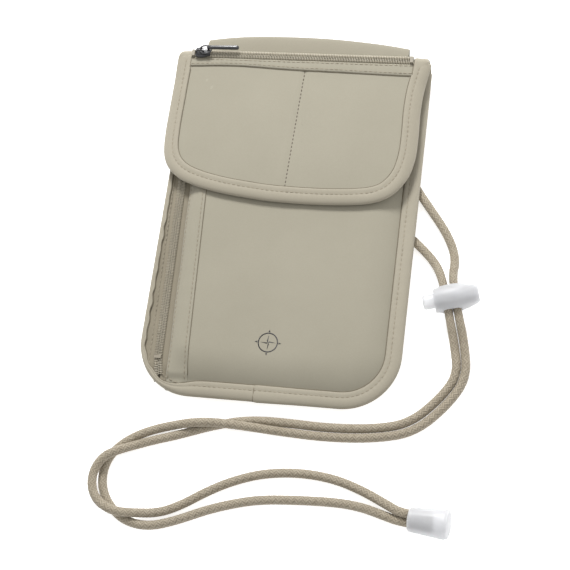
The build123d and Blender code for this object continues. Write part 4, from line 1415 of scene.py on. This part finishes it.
def on_front(x, y, lift):
    """Point just over the front panel."""
    return (x, y, front_height(x, y) + lift)


MARK_X, MARK_Y, MARK_TURN = 1.5, -69.5, math.radians(-1.0)


def on_mark(radius, angle):
    return (MARK_X + radius * math.cos(angle + MARK_TURN), MARK_Y + radius * math.sin(angle + MARK_TURN))


outlines = []
for k in range(48):
    a, b = 2 * math.pi * k / 48, 2 * math.pi * (k + 1) / 48
    outlines.append([on_mark(5.0, a), on_mark(5.0, b), on_mark(4.45, b), on_mark(4.45, a)])
for k in range(4):
    a = math.pi / 2 * k + math.pi / 2
    outlines.append([on_mark(3.9, a), on_mark(0.9, a + math.pi / 4), on_mark(0.0, a)][::-1])
    outlines.append([on_mark(6.6, a), on_mark(5.3, a - 0.09), on_mark(5.3, a + 0.09)])
prints = [plate(outline, -0.02, 0.05, on_front) for outline in outlines]
mark = shells_piece("compass_print", prints, INK, 0)
settle(mark, "pouch", "shell_fabric")

# ------------------------------------------------------------------ bodies, replaced nodes and cloth sizes

for piece, body, nodes, slot, flat, area, held in (
    (front_cloth, "pouch", ("front_panel",), "shell_fabric", (0.112, 0.158), 0.0168, "stretched"),
    (divider_cloth, "pouch", ("divider",), "lining_fabric", (0.124, 0.166), 0.0195, "stretched"),
    (back_cloth, "pouch", ("back_panel",), "shell_fabric", (0.130, 0.180), 0.0228, "stretched"),
    (facing_cloth, "pouch", ("side_facing",), "shell_fabric", (0.0125, 0.151), 0.0018, "stretched"),
    (binding_cloth, "pouch", ("body_binding",), "binding_fabric", None, None, None),
    (sleeve_cloth, "pouch", ("cord_sleeve",), "shell_fabric", None, None, None),
    (flap_cloth, "flap", ("flap_front",), "shell_fabric", (0.121, 0.072), 0.0084, "stretched"),
    (flap_lining_cloth, "flap", ("flap_lining",), "lining_fabric", (0.121, 0.072), 0.0084, "stretched"),
    (flap_binding_cloth, "flap", ("flap_binding",), "binding_fabric", None, None, None),
    (hem_cloth, "flap", ("flap_hem_band",), "shell_fabric", None, None, None),
    (fold_cloth, None, ("back_fold", "flap_fold"), "shell_fabric", None, None, None),
):
    if body:
        settle(piece, body, slot, *nodes)
    else:
        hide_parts(*nodes)

# ------------------------------------------------------------------ floor and light

floor_mesh = bpy.data.meshes.new("floor")
FLOOR_REACH, FLOOR_Z = 3, -0.0002
corners = [(x * FLOOR_REACH, y * FLOOR_REACH, FLOOR_Z) for x, y in ((-1, -1), (1, -1), (1, 1), (-1, 1))]
floor_mesh.from_pydata(corners, [], [(0, 1, 2, 3)])
floor = bpy.data.objects.new("floor", floor_mesh)
scene.collection.objects.link(floor)
PAPER = finish_of(
    "studio_paper", 0.9, Base_Color=(0.93, 0.93, 0.93, 1), Emission_Color=(1, 1, 1, 1), Emission_Strength=0.6
)[0]
floor_mesh.materials.append(PAPER)

world = bpy.data.worlds.new("studio")
world.use_nodes = True
backdrop = world.node_tree.nodes["Background"].inputs
backdrop["Color"].default_value = (1.0, 1.0, 1.0, 1)
backdrop["Strength"].default_value = 0.60
scene.world = world


def soft_light(name, place, aim, size, power):
    """Round area light at a place, turned to its aim."""
    light = bpy.data.lights.new(name, "AREA")
    light.shape = "DISK"
    light.size = size
    light.energy = power
    lamp = bpy.data.objects.new(name, light)
    lamp.location = place
    lamp.rotation_euler = (Vector(aim) - Vector(place)).to_track_quat("-Z", "Y").to_euler()
    scene.collection.objects.link(lamp)


soft_light("key", (-0.20, 0.85, 0.80), (0, -0.03, 0), 0.32, 14.6)
soft_light("fill", (0.8, -0.15, 0.9), (0, -0.03, 0), 0.9, 2.0)
scene.view_settings.view_transform = "Standard"
